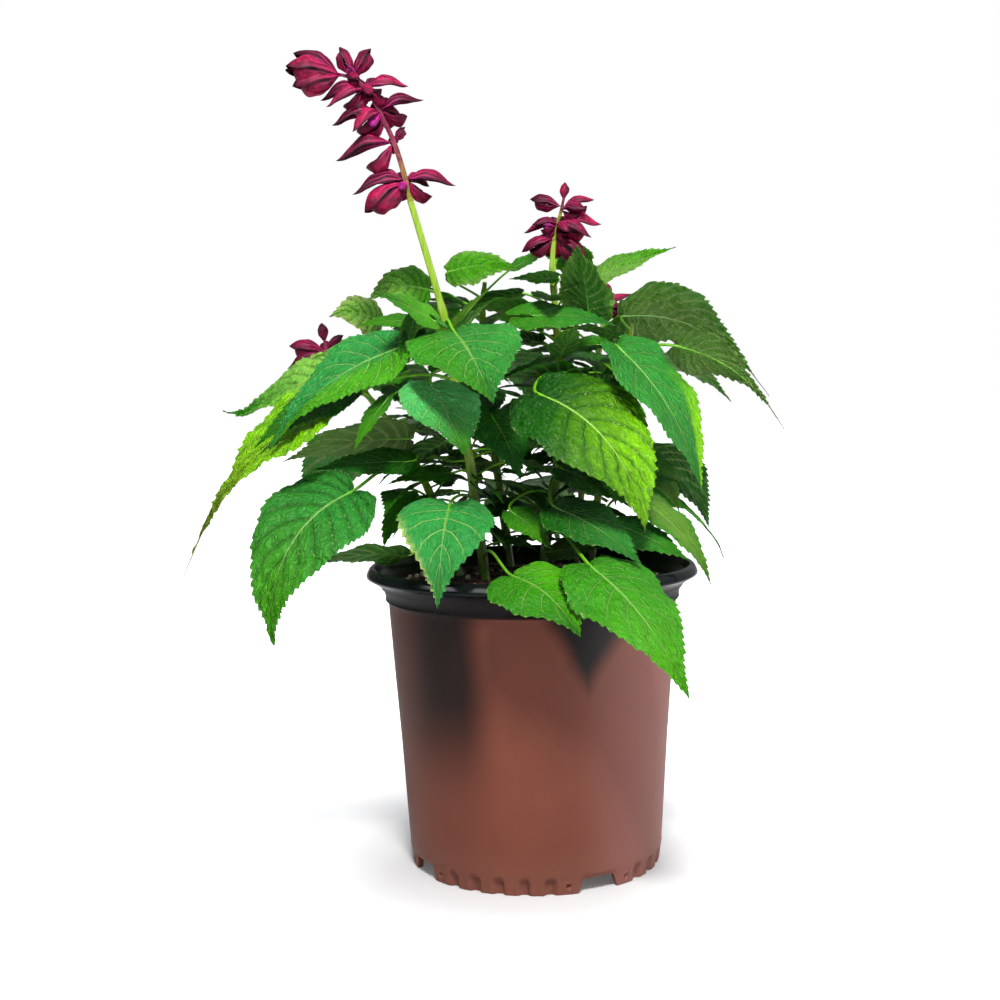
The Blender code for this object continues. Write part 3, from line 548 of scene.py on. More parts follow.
def fillLeaves():
    # pairs of leaves at the sides and the back, by rule
    draw = random.Random(fillSettings["seed"])
    looks = fillSettings["looks"]
    smallFrom, smallRange, smallShare = fillSettings["smaller"]
    found = []
    for name, heights, spread in fillSettings["rows"]:
        for level, height in enumerate(heights):
            start = stemPoint(name, height)[0] / mm
            size = 1 - smallShare * max(0.0, (height - smallFrom) / smallRange)
            for side in (0, 180):
                heading = spread + 90 * (level % 2) + side + draw.uniform(*fillSettings["turn"])
                if headingVector(heading, 0).y < fillSettings["front"]:
                    continue
                reach, rise, length, pitch, slim, droop, roll, fold, tail = drawn(
                    draw, fillSettings, "reach rise length pitch slim droop roll fold tail")
                foot = start + headingVector(heading, rise) * (reach * size)
                length *= size
                found.append(Leaf(name, height, tuple(foot), heading, pitch, length, length * slim, droop,
                                  roll, fold, looks[len(found) % len(looks)], fillSettings["taper"], 0, tail))
    return found


def midrib(leaf):
    # points and directions along the middle of a blade, from its foot to its tip
    stations = []
    point = vec(leaf.foot)
    count = plantSettings["ribStations"]
    start = plantSettings["tailStart"]
    for i in range(count + 1):
        share = i / count
        tail = leaf.tail * max(0.0, share - start) / (1 - start)
        ahead = headingVector(leaf.heading, leaf.pitch - leaf.droop * share - tail)
        level = headingVector(leaf.heading + 90, 0)
        across = Matrix.Rotation(math.radians(leaf.roll), 3, ahead) @ level
        stations.append((point.copy(), ahead, across, ahead.cross(across)))
        point += ahead * leaf.length * mm / count
    return stations


def onBlade(leaf, stations, along, out):
    # the place of a point of the flat blade, along 0 to 1 and out in millimetres, and the way up there
    count = plantSettings["ribStations"]
    place = min(max(along, 0.0), 1.0) * count
    i = min(int(place), count - 1)
    t = place - i
    point = stations[i][0].lerp(stations[i + 1][0], t)
    ahead, across, normal = (stations[i][k].lerp(stations[i + 1][k], t).normalized() for k in (1, 2, 3))
    point += ahead * min(along, 0.0) * leaf.length * mm
    half = leaf.width / 2
    lift = abs(out) * math.tan(math.radians(leaf.fold)) - plantSettings["arch"] * out * out / half
    wave = math.sin(along * plantSettings["rippleTurn"] + leaf.heading) * (out / half) ** 2
    lift += plantSettings["ripple"] * leaf.width * wave
    return point + (across * out + normal * lift) * mm, normal


def edgeAt(share):
    along, out, _ = curvePoint([(a, b, 0) for a, b in plantSettings["edge"]], share)
    return along, out


def marginAt(share):
    # the same edge begun at the foot, round a lobe, with the place of its side vein's root on the midrib
    lobe = plantSettings["lobe"]
    if share < lobe:
        start = plantSettings["edge"][0]
        turn = math.pi / 2 * share / lobe
        return start[0] * math.sin(turn) ** 0.8, start[1] * (1 - math.cos(turn)) ** 0.8, 0.0
    rest = (share - lobe) / (1 - lobe)
    along, out = edgeAt(rest)
    return along, out, rest ** plantSettings["ribLag"]


stalkSettings = {
    "steps": 12,
    "rise": 0.7,              # how steeply a stalk leaves its stem
    "bends": (0.33, 0.3, 9.0),   # how straight it leaves and enters, as shares of its reach, and millimetres
    "radius": 1.25,
    "slimming": 0.35,
    "ribRadius": 0.62,
    "ribDepth": 0.35,         # millimetres under the blade
    "threadSteps": 6,
    "threadRadius": 0.3,
    "dry": srgb(88, 64, 40),
}


def stalkWay(leaf):
    # the way of a leaf's stalk from its stem to the foot of its blade
    lead, end, longest = stalkSettings["bends"]
    steps = stalkSettings["steps"]
    start = stemPoint(leaf.stem, leaf.joint)[0]
    foot = vec(leaf.foot)
    ahead = headingVector(leaf.heading, leaf.pitch)
    reach = (foot - start).length
    outward = (foot - start) * Vector((1, 1, 0))
    rising = (outward.normalized() + Vector((0, 0, stalkSettings["rise"]))).normalized()
    controls = (start, start + rising * reach * lead, foot - ahead * min(reach * end, longest * mm), foot)
    path = []
    for i in range(steps + 1):
        t = i / steps
        shares = ((1 - t) ** 3, 3 * t * (1 - t) ** 2, 3 * t * t * (1 - t), t ** 3)
        path.append(sum((share * point for share, point in zip(shares, controls)), Vector()))
    return path


# The bend that a leaf's solid has, which grew among the others: a leaf is bent until it lies on the solid

matchSettings = {
    "bends": (range(-20, 21, 5), range(-18, 19, 6), range(-8, 9, 4)),   # of pitch, heading and height
    "furthest": 5.0,          # millimetres that a leaf's tip and two teeth may miss its solid by, together
    "tooth": 0.06,            # the solids' coarse teeth
    "lean": 0.012,
    "rows": (6, 8, 12),       # the rows of a small, a middling and a large leaf's solid
    "middling": 46.0,
    "large": 82.0,
}


def bentLikeSolid(leaf, rows, tree):
    # the leaf with the bend that brings it nearest to its solid's corners, and how far it still is from them
    middle = rows // 2
    tooth = 1 if middle % 2 else -1
    along, out = edgeAt(middle / rows)
    out *= (1 + tooth * matchSettings["tooth"]) * leaf.width / 2
    along += tooth * matchSettings["lean"]

    def missOf(tried):
        stations = midrib(tried)
        seen = [stations[-1][0]] + [onBlade(tried, stations, along, side)[0] for side in (out, -out)]
        return sum(tree.find(point)[2] for point in seen)

    x, y, z = leaf.foot
    best = min((leaf._replace(pitch=leaf.pitch + pitch, heading=leaf.heading + heading, foot=(x, y, z + lift))
                for pitch, heading, lift in product(*matchSettings["bends"])), key=missOf)
    return best, missOf(best)


def grownLeaves():
    kept = {name: [] for name in stemWays}
    trees = {name: nearTree([vert.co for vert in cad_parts["stem_" + name].data.vertices])
             for name in stemWays}
    small, middling, large = matchSettings["rows"]
    asked = []
    for leaf in tableLeaves(placedLeaves):
        rows = small if leaf.length <= matchSettings["middling"] else middling
        asked.append((leaf, large if leaf.length > matchSettings["large"] else rows))
    asked += [(leaf, small) for leaf in fillLeaves()]
    for leaf, rows in asked:
        found, miss = bentLikeSolid(leaf, rows, trees[leaf.stem])
        if miss < matchSettings["furthest"] * mm:
            kept[leaf.stem].append(found)
        else:
            print("no solid for a leaf of", leaf.stem, round(miss / mm, 1))
    print("leaves matched to the solids:", sum(len(leaves) for leaves in kept.values()))
    for leaf in tableLeaves(crownLeaves):
        kept[leaf.stem].append(leaf)
    return kept


# Small leaves inside the bush, each kept only where it is clear of everything that stands there

innerSettings = {
    "seed": 8,
    "tries": 5000,
    "most": 200,
    "gap": 1.8,               # millimetres kept between leaves
    "lowest": 163,
    "highest": 312,
    "furthest": 86,           # from the pot's axis
    "nearest": -44,           # towards the camera
    "overSoil": 6,            # the lowest joint, above the lowest leaf
    "underTip": 14,           # the highest joint, below the stem's tip
    "length": (16, 50),
    "reach": (0.3, 0.75),     # shares of the length
    "rise": (0, 45),
    "turn": (-30, 30),
    "pitch": (-25, 22),
    "slim": (0.5, 0.64),
    "droop": (10, 50),
    "roll": (-35, 35),
    "fold": (5, 20),
    "looks": (
        Look("deep", "mid", "tip", 0.2, 0.9), Look("deep", "deep", "edge", 0.3, 0.8),
        Look("deep", "mid", "edge", 0.3, 0.9), Look("mid", "bright", "tip", 0.3, 1.0)),
}


def bladePoints(leaf, rows=12):
    # points spread over a blade
    stations = midrib(leaf)
    found = []
    for row in range(rows + 1):
        along, out, rib = marginAt(row / rows)
        for reach in (0.0, 0.35, 0.7, 1.0):
            at = rib + (along - rib) * reach ** plantSettings["ribSweep"]
            for side in (-1, 1):
                found.append(onBlade(leaf, stations, at, side * out * reach * leaf.width / 2)[0])
    return found


def fitsInside(seen):
    # whether all points lie in the room for small leaves
    heights = [point.z / mm for point in seen]
    return (min(heights) >= innerSettings["lowest"] and max(heights) <= innerSettings["highest"]
            and min(point.y for point in seen) >= innerSettings["nearest"] * mm
            and max(point.xy.length for point in seen) <= innerSettings["furthest"] * mm)


def innerLeaves(kept):
    draw = random.Random(innerSettings["seed"])
    looks = innerSettings["looks"]
    standing = []
    for name, (points, _, _) in stemWays.items():
        standing += curveWay(points, 60)
        for leaf in kept[name]:
            standing += bladePoints(leaf) + stalkWay(leaf)[3:]
    for _, points, _ in flowerHeads.values():
        standing += curveWay(points, 20)
    tree = nearTree(standing)
    found = 0
    for _ in range(innerSettings["tries"]):
        name = draw.choice(tuple(stemWays))
        top = min(stemWays[name][0][-1][2], innerSettings["highest"]) - innerSettings["underTip"]
        height = draw.uniform(innerSettings["lowest"] + innerSettings["overSoil"], top)
        heading = draw.uniform(0, 360)
        length, reach, rise, turn, pitch, slim, droop, roll, fold = drawn(
            draw, innerSettings, "length reach rise turn pitch slim droop roll fold")
        foot = stemPoint(name, height)[0] / mm + headingVector(heading, rise) * (reach * length)
        leaf = Leaf(name, height, tuple(foot), heading + turn, pitch, length, length * slim, droop, roll,
                    fold, looks[draw.randrange(len(looks))])
        seen = bladePoints(leaf, 8)
        if not fitsInside(seen):
            continue
        seen += stalkWay(leaf)[4:]
        if min(tree.find(point)[2] for point in seen) > innerSettings["gap"] * mm:
            kept[name].append(leaf)
            standing += bladePoints(leaf)
            tree = nearTree(standing)
            found += 1
            if found == innerSettings["most"]:
                break
    print("small leaves inside:", found)


# Leaves

leafSettings = {
    "toothPitch": 3.3,        # millimetres along the margin
    "toothDepth": 1.25,
    "toothSteps": 3,          # rows of the grid to a tooth
    "columnPitch": 2.6,       # millimetres across half a blade
    "thickness": 0.34,
    "slant": 0.13,            # how far a side vein runs forward, as a share of the margin
    "quiltHeight": 1.0,       # of the puffed tissue between the veins, on a blade 60 mm wide
    "crumple": 0.85,
    "waviness": 1.7,          # of the edge
    "ribGroove": 0.45,
    "shadow": (0.0, 0.03, 0.0),
    "sunlit": (0.4, 0.72, 0.06),
    "paleVein": srgb(190, 228, 124),
    # dark veins, and the painted shade of the valleys and creases
    "darkVeinAndShade": srgb(16, 78, 8),
    "underTint": srgb(104, 132, 78),
    "underValley": srgb(150, 176, 104),
    "underVein": srgb(168, 188, 120),
}


def tintOf(look, share, across):
    first = tints[look.main]
    second = tints[look.second]
    if look.where == "tip":
        amount = smoothStep(0.35, 0.95, share)
    elif look.where == "foot":
        amount = 1 - smoothStep(0.25, 0.95, share + 0.15 * across)
    elif look.where == "edge":
        amount = smoothStep(0.55, 1.0, abs(across)) * 0.85
    elif look.where == "leftEdge":
        amount = smoothStep(0.55, 0.8, across) * smoothStep(0.35, 0.7, share)
    elif look.where == "rim":
        amount = smoothStep(0.86, 0.97, -across) * smoothStep(0.3, 0.5, share) * 0.85
    else:
        side = 1 if look.where == "left" else -1
        amount = smoothStep(-0.1, 0.5, side * across) * 0.9
    return blended(first, second, amount)


def marginOf(leaf):
    # the rows of a blade: how far along, where the side vein starts, and the toothed edge there
    steps = leafSettings["toothSteps"]
    teeth = max(8, round(leaf.length * 1.12 / leafSettings["toothPitch"]))
    rows = teeth * steps
    depth = leafSettings["toothDepth"] * min(1.0, 0.5 + leaf.length / 160)
    margin = []
    for row in range(rows + 1):
        share = row / rows
        along, out, rib = marginAt(share)
        out *= 1 - leaf.taper * smoothStep(0.3, 0.75, share)
        fade = smoothStep(0, 0.12, share) * (1 - smoothStep(0.84, 0.99, share))
        uneven = 1 + 0.5 * noise.noise(Vector((row // steps * 0.9, leaf.heading * 0.1, leaf.length)))
        bite = ((row % steps) / (steps - 1) - 0.5) * depth * fade * uneven
        margin.append((share, rib, along + bite * 0.8 / leaf.length, out * leaf.width / 2 + bite))
    return margin


def addBlade(bm, leaf, layers, order):
    placeLayer, tintLayer = layers
    stations = midrib(leaf)
    size = min(leaf.width / 60, 1.2)
    margin = marginOf(leaf)
    rows = len(margin) - 1
    columns = max(5, round(leaf.width / 2 / leafSettings["columnPitch"]))
    veinCount = leaf.look.pairs
    wobble = noise.noise(Vector((order * 3.7, 1.3, leaf.length))) * 0.5
    quilt = leafSettings["quiltHeight"] * size * leaf.look.quilt
    crumple = leafSettings["crumple"] * quilt
    waviness = leafSettings["waviness"] * size

    def roughAt(point, share, across):
        # the uneven height of the tissue: broad dents, small crumples and the waves of the edge
        dents = noise.noise(point * 130 + Vector((order, 0, 0))) * 0.8 * size
        wave = noise.noise(Vector((share * 9, across * 0.8, order))) * waviness * abs(across) ** 3
        return dents + noise.noise(point * 330) * crumple + wave

    def place(u, v, vert):
        row = round(v * rows)
        share, rib, edgeAlong, edgeOut = margin[row]
        top, across = wrapped(u)
        reach = abs(across)
        along = rib + (edgeAlong - rib) * reach ** plantSettings["ribSweep"]
        point, normal = onBlade(leaf, stations, along, math.copysign(edgeOut * reach, across))
        swept = share + leafSettings["slant"] * (1 - reach) + wobble / veinCount
        between = abs(math.sin(math.pi * swept * veinCount))
        puff = (between ** 0.6 - 0.4) * quilt * smoothStep(0, 0.25, reach)
        puff *= (1 - 0.75 * smoothStep(0.75, 1.0, reach)) * smoothStep(1.0, 0.8, share)
        groove = math.exp(-(reach * leaf.width / 2 / 1.3) ** 2) * leafSettings["ribGroove"] * (1 - share)
        lift = puff + roughAt(point, share, across) * smoothStep(0, 0.2, reach) - groove
        lift *= smoothStep(0, 0.06, share)
        if reach <= 0.999 and 0 < row < rows:
            thick = leafSettings["thickness"] * (1 - smoothStep(0.93, 1.0, reach) * 0.7)
            lift += thick / 2 if top else -thick / 2
        vert[placeLayer] = (swept * veinCount, across, 0.0 if top else 1.0)
        vert[tintLayer] = (*tintOf(leaf.look, share, across), leaf.look.veins / 2 + 0.5)
        return point + normal * lift * mm

    wrapGrid(bm, columns * 4, rows, place)


def addStalk(bm, leaf, layers):
    # a leaf's stalk, its raised midrib under the blade, and the thread that some tips end in
    placeLayer, tintLayer = layers
    stations = midrib(leaf)
    path = stalkWay(leaf)
    count = plantSettings["ribStations"]
    size = min(1.0, 0.55 + leaf.length / 180)
    radii = [(stalkSettings["radius"] - stalkSettings["slimming"] * smoothStep(0, 3, i)) * size
             for i in range(len(path))]
    for i in range(1, count - 1 if leaf.thread else count - 3):
        point, _, _, normal = stations[i]
        taper = 1 - i / (count + 1)
        path.append(point - normal * stalkSettings["ribDepth"] * taper * mm)
        radii.append(stalkSettings["ribRadius"] * size * taper)
    dryFrom = len(path)
    if leaf.thread:
        path += [stations[count - 1][0], stations[count][0]]
        drop = stations[count][1].copy()
        steps = stalkSettings["threadSteps"]
        for i in range(1, steps + 1):
            drop = (drop + Vector((0, 0, 0.10 - 0.03 * i))).normalized()
            path.append(path[-1] + drop * leaf.thread / steps * mm)
        radii += [stalkSettings["threadRadius"] - 0.02 * i for i in range(steps + 2)]
        dryFrom -= 2
    first = blended(tints["bright"], tints["lime"], 0.5)
    second = blended(tints[leaf.look.main], tints["pale"], 0.4)

    def paint(vert, u, v):
        vert[placeLayer] = (0.5, 0.5, 0.4)
        tone = blended(first, second, smoothStep(0.3, 0.8, v))
        brown = smoothStep(dryFrom, dryFrom + 4, v * (len(path) - 1))
        vert[tintLayer] = (*blended(tone, stalkSettings["dry"], brown), 0.5)

    tubeGrid(bm, path, radii, 8, roundSection, paint, Vector((0, 0, 1)))


def leafMaterial():
    material, shader, place = newMaterial("leafTissue")
    spaced, across, side = split(attribute(place.tree, "leafPlace", "Vector"))
    tint = attribute(place.tree, "leafTint", "Color")
    veinSign = attribute(place.tree, "leafTint", "Alpha")
    reach = abs(across)
    # veins: the midrib, the side veins and the valleys along them, and two nets between those
    nearest = abs(maths("FRACT", spaced + 0.5) - 0.5)
    sideVein = falling(nearest, 0.016, 0.066) * ramp(reach, 0.4, 0.95, 1.0, 0.15)
    valley = falling(nearest, 0.0, 0.3)
    rib = falling(reach, 0.012, 0.035)
    main = maths("MAXIMUM", rib, sideVein)
    sway = noiseAt(place, 160.0, 2.0) * 1.1
    coarse = cellsAt(joined(spaced * 1.9 + sway, across * 7.5 + sway, side))
    ladder = falling(coarse, 0.0, 0.09)
    blister = falling(coarse, 0.0, 0.38)
    netVein = falling(cellsAt(joined(spaced * 4.5, across * 17.0, side)), 0.0, 0.14)
    # tissue
    broad = noiseAt(place, 45.0, 2.0)
    fine = noiseAt(place, 500.0)
    darker = mixed(0.65, tint, leafSettings["shadow"])
    lighter = mixed(0.25, tint, leafSettings["sunlit"])
    colour = mixed(ramp(broad, 0.35, 0.65, 0.0, 0.35), tint, darker)
    colour = mixed(ramp(fine, 0.45, 0.75, 0.0, 0.35), colour, lighter)
    # the veins' tones: alpha runs from 0 for dark veins to 1 for pale ones
    paleVein = mixed(0.62, tint, leafSettings["paleVein"])
    darkVeinAndShade = mixed(0.8, tint, leafSettings["darkVeinAndShade"])
    strength = abs(veinSign - 0.5) * 2.0
    dark = maths("SUBTRACT", 0.5, veinSign, clamp=True) * 2.0
    lines = maths("MAXIMUM", ladder, netVein * 0.35)
    # painted shade: the valleys along the side veins are darkened; the nets' lines are dark veinlets and also
    # painted shade in the creases between the blisters
    colour = mixed(valley * (dark * 0.5 + 0.2), colour, darkVeinAndShade)
    colour = mixed(lines * (dark * 0.45 + 0.14), colour, darkVeinAndShade)
    colour = mixed(main * (strength * 0.65 + 0.2), colour, mixed(veinSign, darkVeinAndShade, paleVein))
    colour = mixed(rib * 0.6, colour, paleVein)
    underside = mixed(0.4, mixed(0.4, tint, leafSettings["underTint"]), colour)
    underside = mixed(valley * 0.45, underside, leafSettings["underValley"])
    underside = mixed(main * 0.6, underside, leafSettings["underVein"])
    colour = mixed(ramp(side, 0.2, 0.9, 0.0, 0.85), colour, underside)
    surface(shader, colour, fine * 0.25 - (main * 0.7 + netVein * 0.25 + blister), 0.85, 0.001)
    feed(shader.inputs["Roughness"], ramp(broad, 0.3, 0.7, 0.34, 0.48))
    shader.inputs["Specular IOR Level"].default_value = 0.15
    shader.inputs["Subsurface Weight"].default_value = 0.16
    shader.inputs["Subsurface Radius"].default_value = (0.35, 1.0, 0.08)
    shader.inputs["Subsurface Scale"].default_value = 0.0012
    return material


# Stems

stemSettings = {
    "steps": 60,
    "sides": 20,
    "foot": srgb(92, 140, 30),
    "middle": srgb(136, 172, 8),
    "wine": srgb(120, 48, 66),
    "streak": (0.03, 0.12, 0.01),
    "patch": (0.45, 0.55, 0.06),
    "swell": 0.55,            # how much a stem swells where leaves grow from it
}


def stemMaterial():
    material, shader, place = newMaterial("stemSkin")
    x, y, z = split(place)
    streaks = noiseAt(joined(x, y, z * 0.08), 900.0, 2.0)
    patches = noiseAt(place, 90.0, 2.0)
    tint = attribute(place.tree, "leafTint", "Color")
    colour = mixed(ramp(streaks, 0.35, 0.75, 0.0, 0.4), tint, stemSettings["streak"])
    colour = mixed(ramp(patches, 0.4, 0.8, 0.0, 0.15), colour, stemSettings["patch"])
    surface(shader, colour, streaks, 0.35, 0.0003)
    shader.inputs["Roughness"].default_value = 0.42
    shader.inputs["Subsurface Weight"].default_value = 0.1
    shader.inputs["Subsurface Scale"].default_value = 0.001
    return material


def addStem(bm, name, leaves, layers):
    placeLayer, tintLayer = layers
    points, footRadius, topRadius = stemWays[name]
    steps = stemSettings["steps"]
    path = [vec(points[0]) - Vector((0, 0, plantSettings["holeDepth"] * mm))] + curveWay(points, steps)
    radii = [footRadius]
    joints = [stemPoint(name, leaf.joint)[1] for leaf in leaves]
    for i in range(steps + 1):
        share = i / steps
        swell = max((math.exp(-((share - joint) * 45) ** 2) for joint in joints), default=0)
        radii.append(footRadius + (topRadius - footRadius) * share + stemSettings["swell"] * swell)

    def paint(vert, u, v):
        vert[placeLayer] = (0.5, 0.5, 0.4)
        tint = blended(stemSettings["foot"], stemSettings["middle"], smoothStep(0.0, 0.5, v))
        vert[tintLayer] = (*tint, 0.5)

    tubeGrid(bm, path, radii, stemSettings["sides"], squareSection, paint)


def makeStems():
    leafTissue = leafMaterial()
    stemSkin = stemMaterial()
    kept = grownLeaves()
    innerLeaves(kept)
    for name, leaves in kept.items():
        bm, layers = paintedShape("leaf")
        for order, leaf in enumerate(leaves):
            addBlade(bm, leaf, layers, order)
        finishPiece(bm, f"leaves_{name}", leafTissue, ("stem_" + name,), 70)
        bm, layers = paintedShape("leaf")
        addStem(bm, name, leaves, layers)
        for leaf in leaves:
            addStalk(bm, leaf, layers)
        finishPiece(bm, f"stems_{name}", stemSkin, ("stem_" + name,), 50)


# Flower heads

cupSettings = {
    "columns": 10,            # across each face of a lip
    "rows": 16,
    "upper": (0.22, 0.23),    # half the width and the depth of a lip, as shares of its length
    "lower": (0.34, 0.38),
    "lowerLength": 0.62,
    "lowerOutline": (0.62, 7.0),
    "lowerBend": 0.02,
    "arch": 0.065,
    "flick": 0.06,            # how far the tip of the upper lip turns up
    "gape": 24.0,             # degrees between the lips of an open cup
    "crumple": 0.24,
    "ribHeight": 0.16,
    "wall": 0.32,
    "foot": 0.8,              # radius, millimetres
    "axisSteps": 24,
    # how wine red each axis is at its foot, and from which share of it on it turns
    "axisTone": {"tall": (0.3, 0.05), "middle": (0.0, 0.5), "left": (0.0, 0.05), "right": (0.0, 0.05)},
    "wine": srgb(100, 8, 48),
    "deep": srgb(22, 2, 16),
    "glow": srgb(174, 24, 76),
    "throat": srgb(196, 36, 150),
    "mottle": srgb(48, 4, 28),
    # the pale tone of the ribs, a painted highlight along their ridges
    "rib": srgb(216, 66, 128),
}


def lipOutline(share, widest, blunt):
    # half the width of a lip along it, as a share of its widest
    opening = smoothStep(-0.12, widest, share)
    return opening * (1 - max(0.0, (share - widest + 0.04) / (1.04 - widest)) ** blunt)


def addLip(bm, root, ahead, up, length, sizes, outline, layers, tint, bend, flick):
    placeLayer, tintLayer = layers
    side = up.cross(ahead)
    rows = cupSettings["rows"]
    half, depth = (size * length for size in sizes)

    def place(u, v, vert):
        row = round(v * rows)
        share = 1 - (1 - row / rows) ** 1.25
        outer, across = wrapped(u)
        wide = lipOutline(share, *outline)
        rib = cupSettings["ribHeight"] * math.cos(across * math.pi * 3.5) * wide
        wall = 0.0 if outer or abs(across) > 0.999 or row in (0, rows) else cupSettings["wall"]
        foot = cupSettings["foot"] * (1 - smoothStep(0, 0.25, share))
        opened = smoothStep(0, 0.2, share)
        angle = across * math.pi / 2
        rise = (max(foot, depth * wide ** 1.15) + rib - wall) * math.cos(angle)
        crease = noise.noise(Vector((share * 3.5, across * 2.4, length * 3.1 + ahead.x * 5)))
        rise += crease * cupSettings["crumple"] * half * wide * opened
        turnUp = flick * max(0.0, share * 5 - 4) ** 2
        axis = length * (bend * (math.sin(math.pi * share) - 0.6 * share ** 2) + turnUp)
        point = root + ahead * share * length * mm
        point += side * math.sin(angle) * (max(foot, half * wide) - wall) * mm
        point += up * (axis + rise * (0.15 + 0.85 * opened)) * mm
        vert[placeLayer] = (across * 0.5 + 0.5, share, 0.0 if outer else 1.0)
        rim = smoothStep(0.66, 0.92, abs(across)) * smoothStep(0.1, 0.4, share)
        tip = smoothStep(0.84, 0.98, share) * (1.0 if flick else 0.5)
        dark = max(0.95 * rim, tip, 0.6 * smoothStep(0.25, 0.0, share))
        tone = blended(tint, cupSettings["deep"], dark)
        if not outer:
            tone = blended(cupSettings["deep"], cupSettings["throat"], 0.7 * smoothStep(0.55, 0.1, share))
        vert[tintLayer] = (*tone, 1.0)
        return point

    wrapGrid(bm, cupSettings["columns"] * 2, rows, place)


def addCup(bm, root, heading, pitch, length, closed, tone, layers, order):
    vary = noise.noise(Vector((order * 1.7, heading * 0.1, 2.0)))
    tint = blended(cupSettings["wine"], cupSettings["glow"], min(max(0.25 + 1.2 * vary + 0.4 * tone, 0), 1))
    if tone > 2:
        tint = cupSettings["throat"]
    elif tone < 0 or vary < -0.15 and tone == 0:
        tint = blended(tint, cupSettings["deep"], 0.5)
    ahead = headingVector(heading, pitch)
    side = headingVector(heading + 90, 0)
    lean = Matrix.Rotation(0.35 * vary, 3, ahead)
    up = lean @ ahead.cross(side)
    sizes = [size * (1 + 0.15 * closed) for size in cupSettings["upper"]]
    addLip(bm, root, ahead, up, length, sizes, (0.4 + 0.12 * closed, 1.8 + 1.6 * closed), layers, tint,
           cupSettings["arch"] * (1 - closed), cupSettings["flick"])
    gape = math.radians(cupSettings["gape"] * (1 - closed) - 2 * closed)
    lowered = Matrix.Rotation(gape, 3, lean @ side)
    reach = length * (cupSettings["lowerLength"] + 0.24 * closed)
    sizes = [size * (1 - 0.25 * closed) for size in cupSettings["lower"]]
    lighter = blended(tint, cupSettings["glow"], 0.35)
    outline = cupSettings["lowerOutline"]
    addLip(bm, root, lowered @ ahead, -(lowered @ up), reach, sizes, outline, layers, lighter,
           cupSettings["lowerBend"], 0.0)


def flowerMaterial():
    material, shader, place = newMaterial("wineCup")
    around, along, _ = split(attribute(place.tree, "cupPlace", "Vector"))
    nearest = abs(maths("FRACT", around * 7.0) - 0.5)
    rib = falling(nearest, 0.05, 0.3) * falling(along, 0.1, 0.9)
    mottle = noiseAt(place, 260.0)
    tint = attribute(place.tree, "cupTint", "Color")
    colour = mixed(ramp(mottle, 0.35, 0.7, 0.0, 0.8), tint, cupSettings["mottle"])
    # painted highlight: the ribs are lightened along their ridges
    colour = mixed(rib * 0.5, colour, cupSettings["rib"])
    surface(shader, colour, rib * 0.6 + mottle * 0.4, 0.5, 0.0004)
    shader.inputs["Roughness"].default_value = 0.5
    shader.inputs["Specular IOR Level"].default_value = 0.1
    shader.inputs["Subsurface Weight"].default_value = 0.15
    shader.inputs["Subsurface Radius"].default_value = (1.0, 0.2, 0.4)
    shader.inputs["Subsurface Scale"].default_value = 0.001
    return material


def addAxis(bm, name, points, radius, layers):
    # the stem of a flower head, which turns from green to wine red on its way up
    placeLayer, tintLayer = layers
    steps = cupSettings["axisSteps"]
    wine = stemSettings["wine"]
    redness, start = cupSettings["axisTone"][name]
    low = blended(stemSettings["middle"], wine, redness)

    def paint(vert, u, v):
        vert[placeLayer] = (u, 0.5, 0.0)
        vert[tintLayer] = (*blended(low, wine, smoothStep(start, start + 0.35, v)), 1.0)

    radii = [radius * (1 - 0.5 * i / steps) for i in range(steps + 1)]
    tubeGrid(bm, curveWay(points, steps), radii, 16, squareSection, paint)


def makeFlowers():
    wineCup = flowerMaterial()
    for name, (stem, points, cups) in flowerHeads.items():
        bm, layers = paintedShape("cup")
        addAxis(bm, name, points, stemWays[stem][2], layers)
        for order, (share, heading, pitch, length, *rest) in enumerate(cups):
            closed, tone = (*rest, 0.0, 0.0)[:2]
            addCup(bm, curvePoint(points, share) * mm, heading, pitch, length, closed, tone, layers, order)
        finishPiece(bm, f"flower_head_{name}", wineCup, ("flowers_" + name,), 60)


# Pot

potSettings = {
    "segments": 512,
    "footInnerRadius": 64.4,
    "wallFrom": 66.2,         # the radius beyond which the foot's dents and dimples are pressed
    "footTop": 13.0,
    "floorTop": 9.7,
    "notchAzimuth": -61.6,
    "notchCount": 4,
    "notchWidth": 24.0,
    "notchTopWidth": 17.0,
    "notchHeight": 7.4,
    "dentSpacing": 11.25,
    "dentWidth": 5.6,         # degrees
    "dentDepth": 2.1,
    "dentTop": 9.0,
    "dimplePlace": 14.5,      # degrees from the middle of a notch to the small drain dimple beside it
    "dimpleHeight": 4.4,
    "dimpleDepth": 1.5,
    "dimpleRadii": (0.5, 1.7, 1.9),   # where it starts to rise, where it ends, and its raised lip
    "lipHeight": 0.45,
    "brown": srgb(116, 63, 49),
    "worn": srgb(74, 36, 28),
    # a painted sheen for the right of the front
    "paintedSheen": srgb(168, 116, 110),
    # the painted shadow on the front of the wall
    "paintedShadow": srgb(10, 5, 4),
    # the lighter tone towards the foot
    "paleFoot": srgb(132, 88, 74),
    "neck": srgb(12, 6, 5),
    "neckFrom": (0.1435, 0.1448),     # metres up, where the tones change
    "rim": srgb(14, 20, 20),
    "rimFrom": (0.1535, 0.1568),
    "glossFrom": (0.152, 0.158),
}

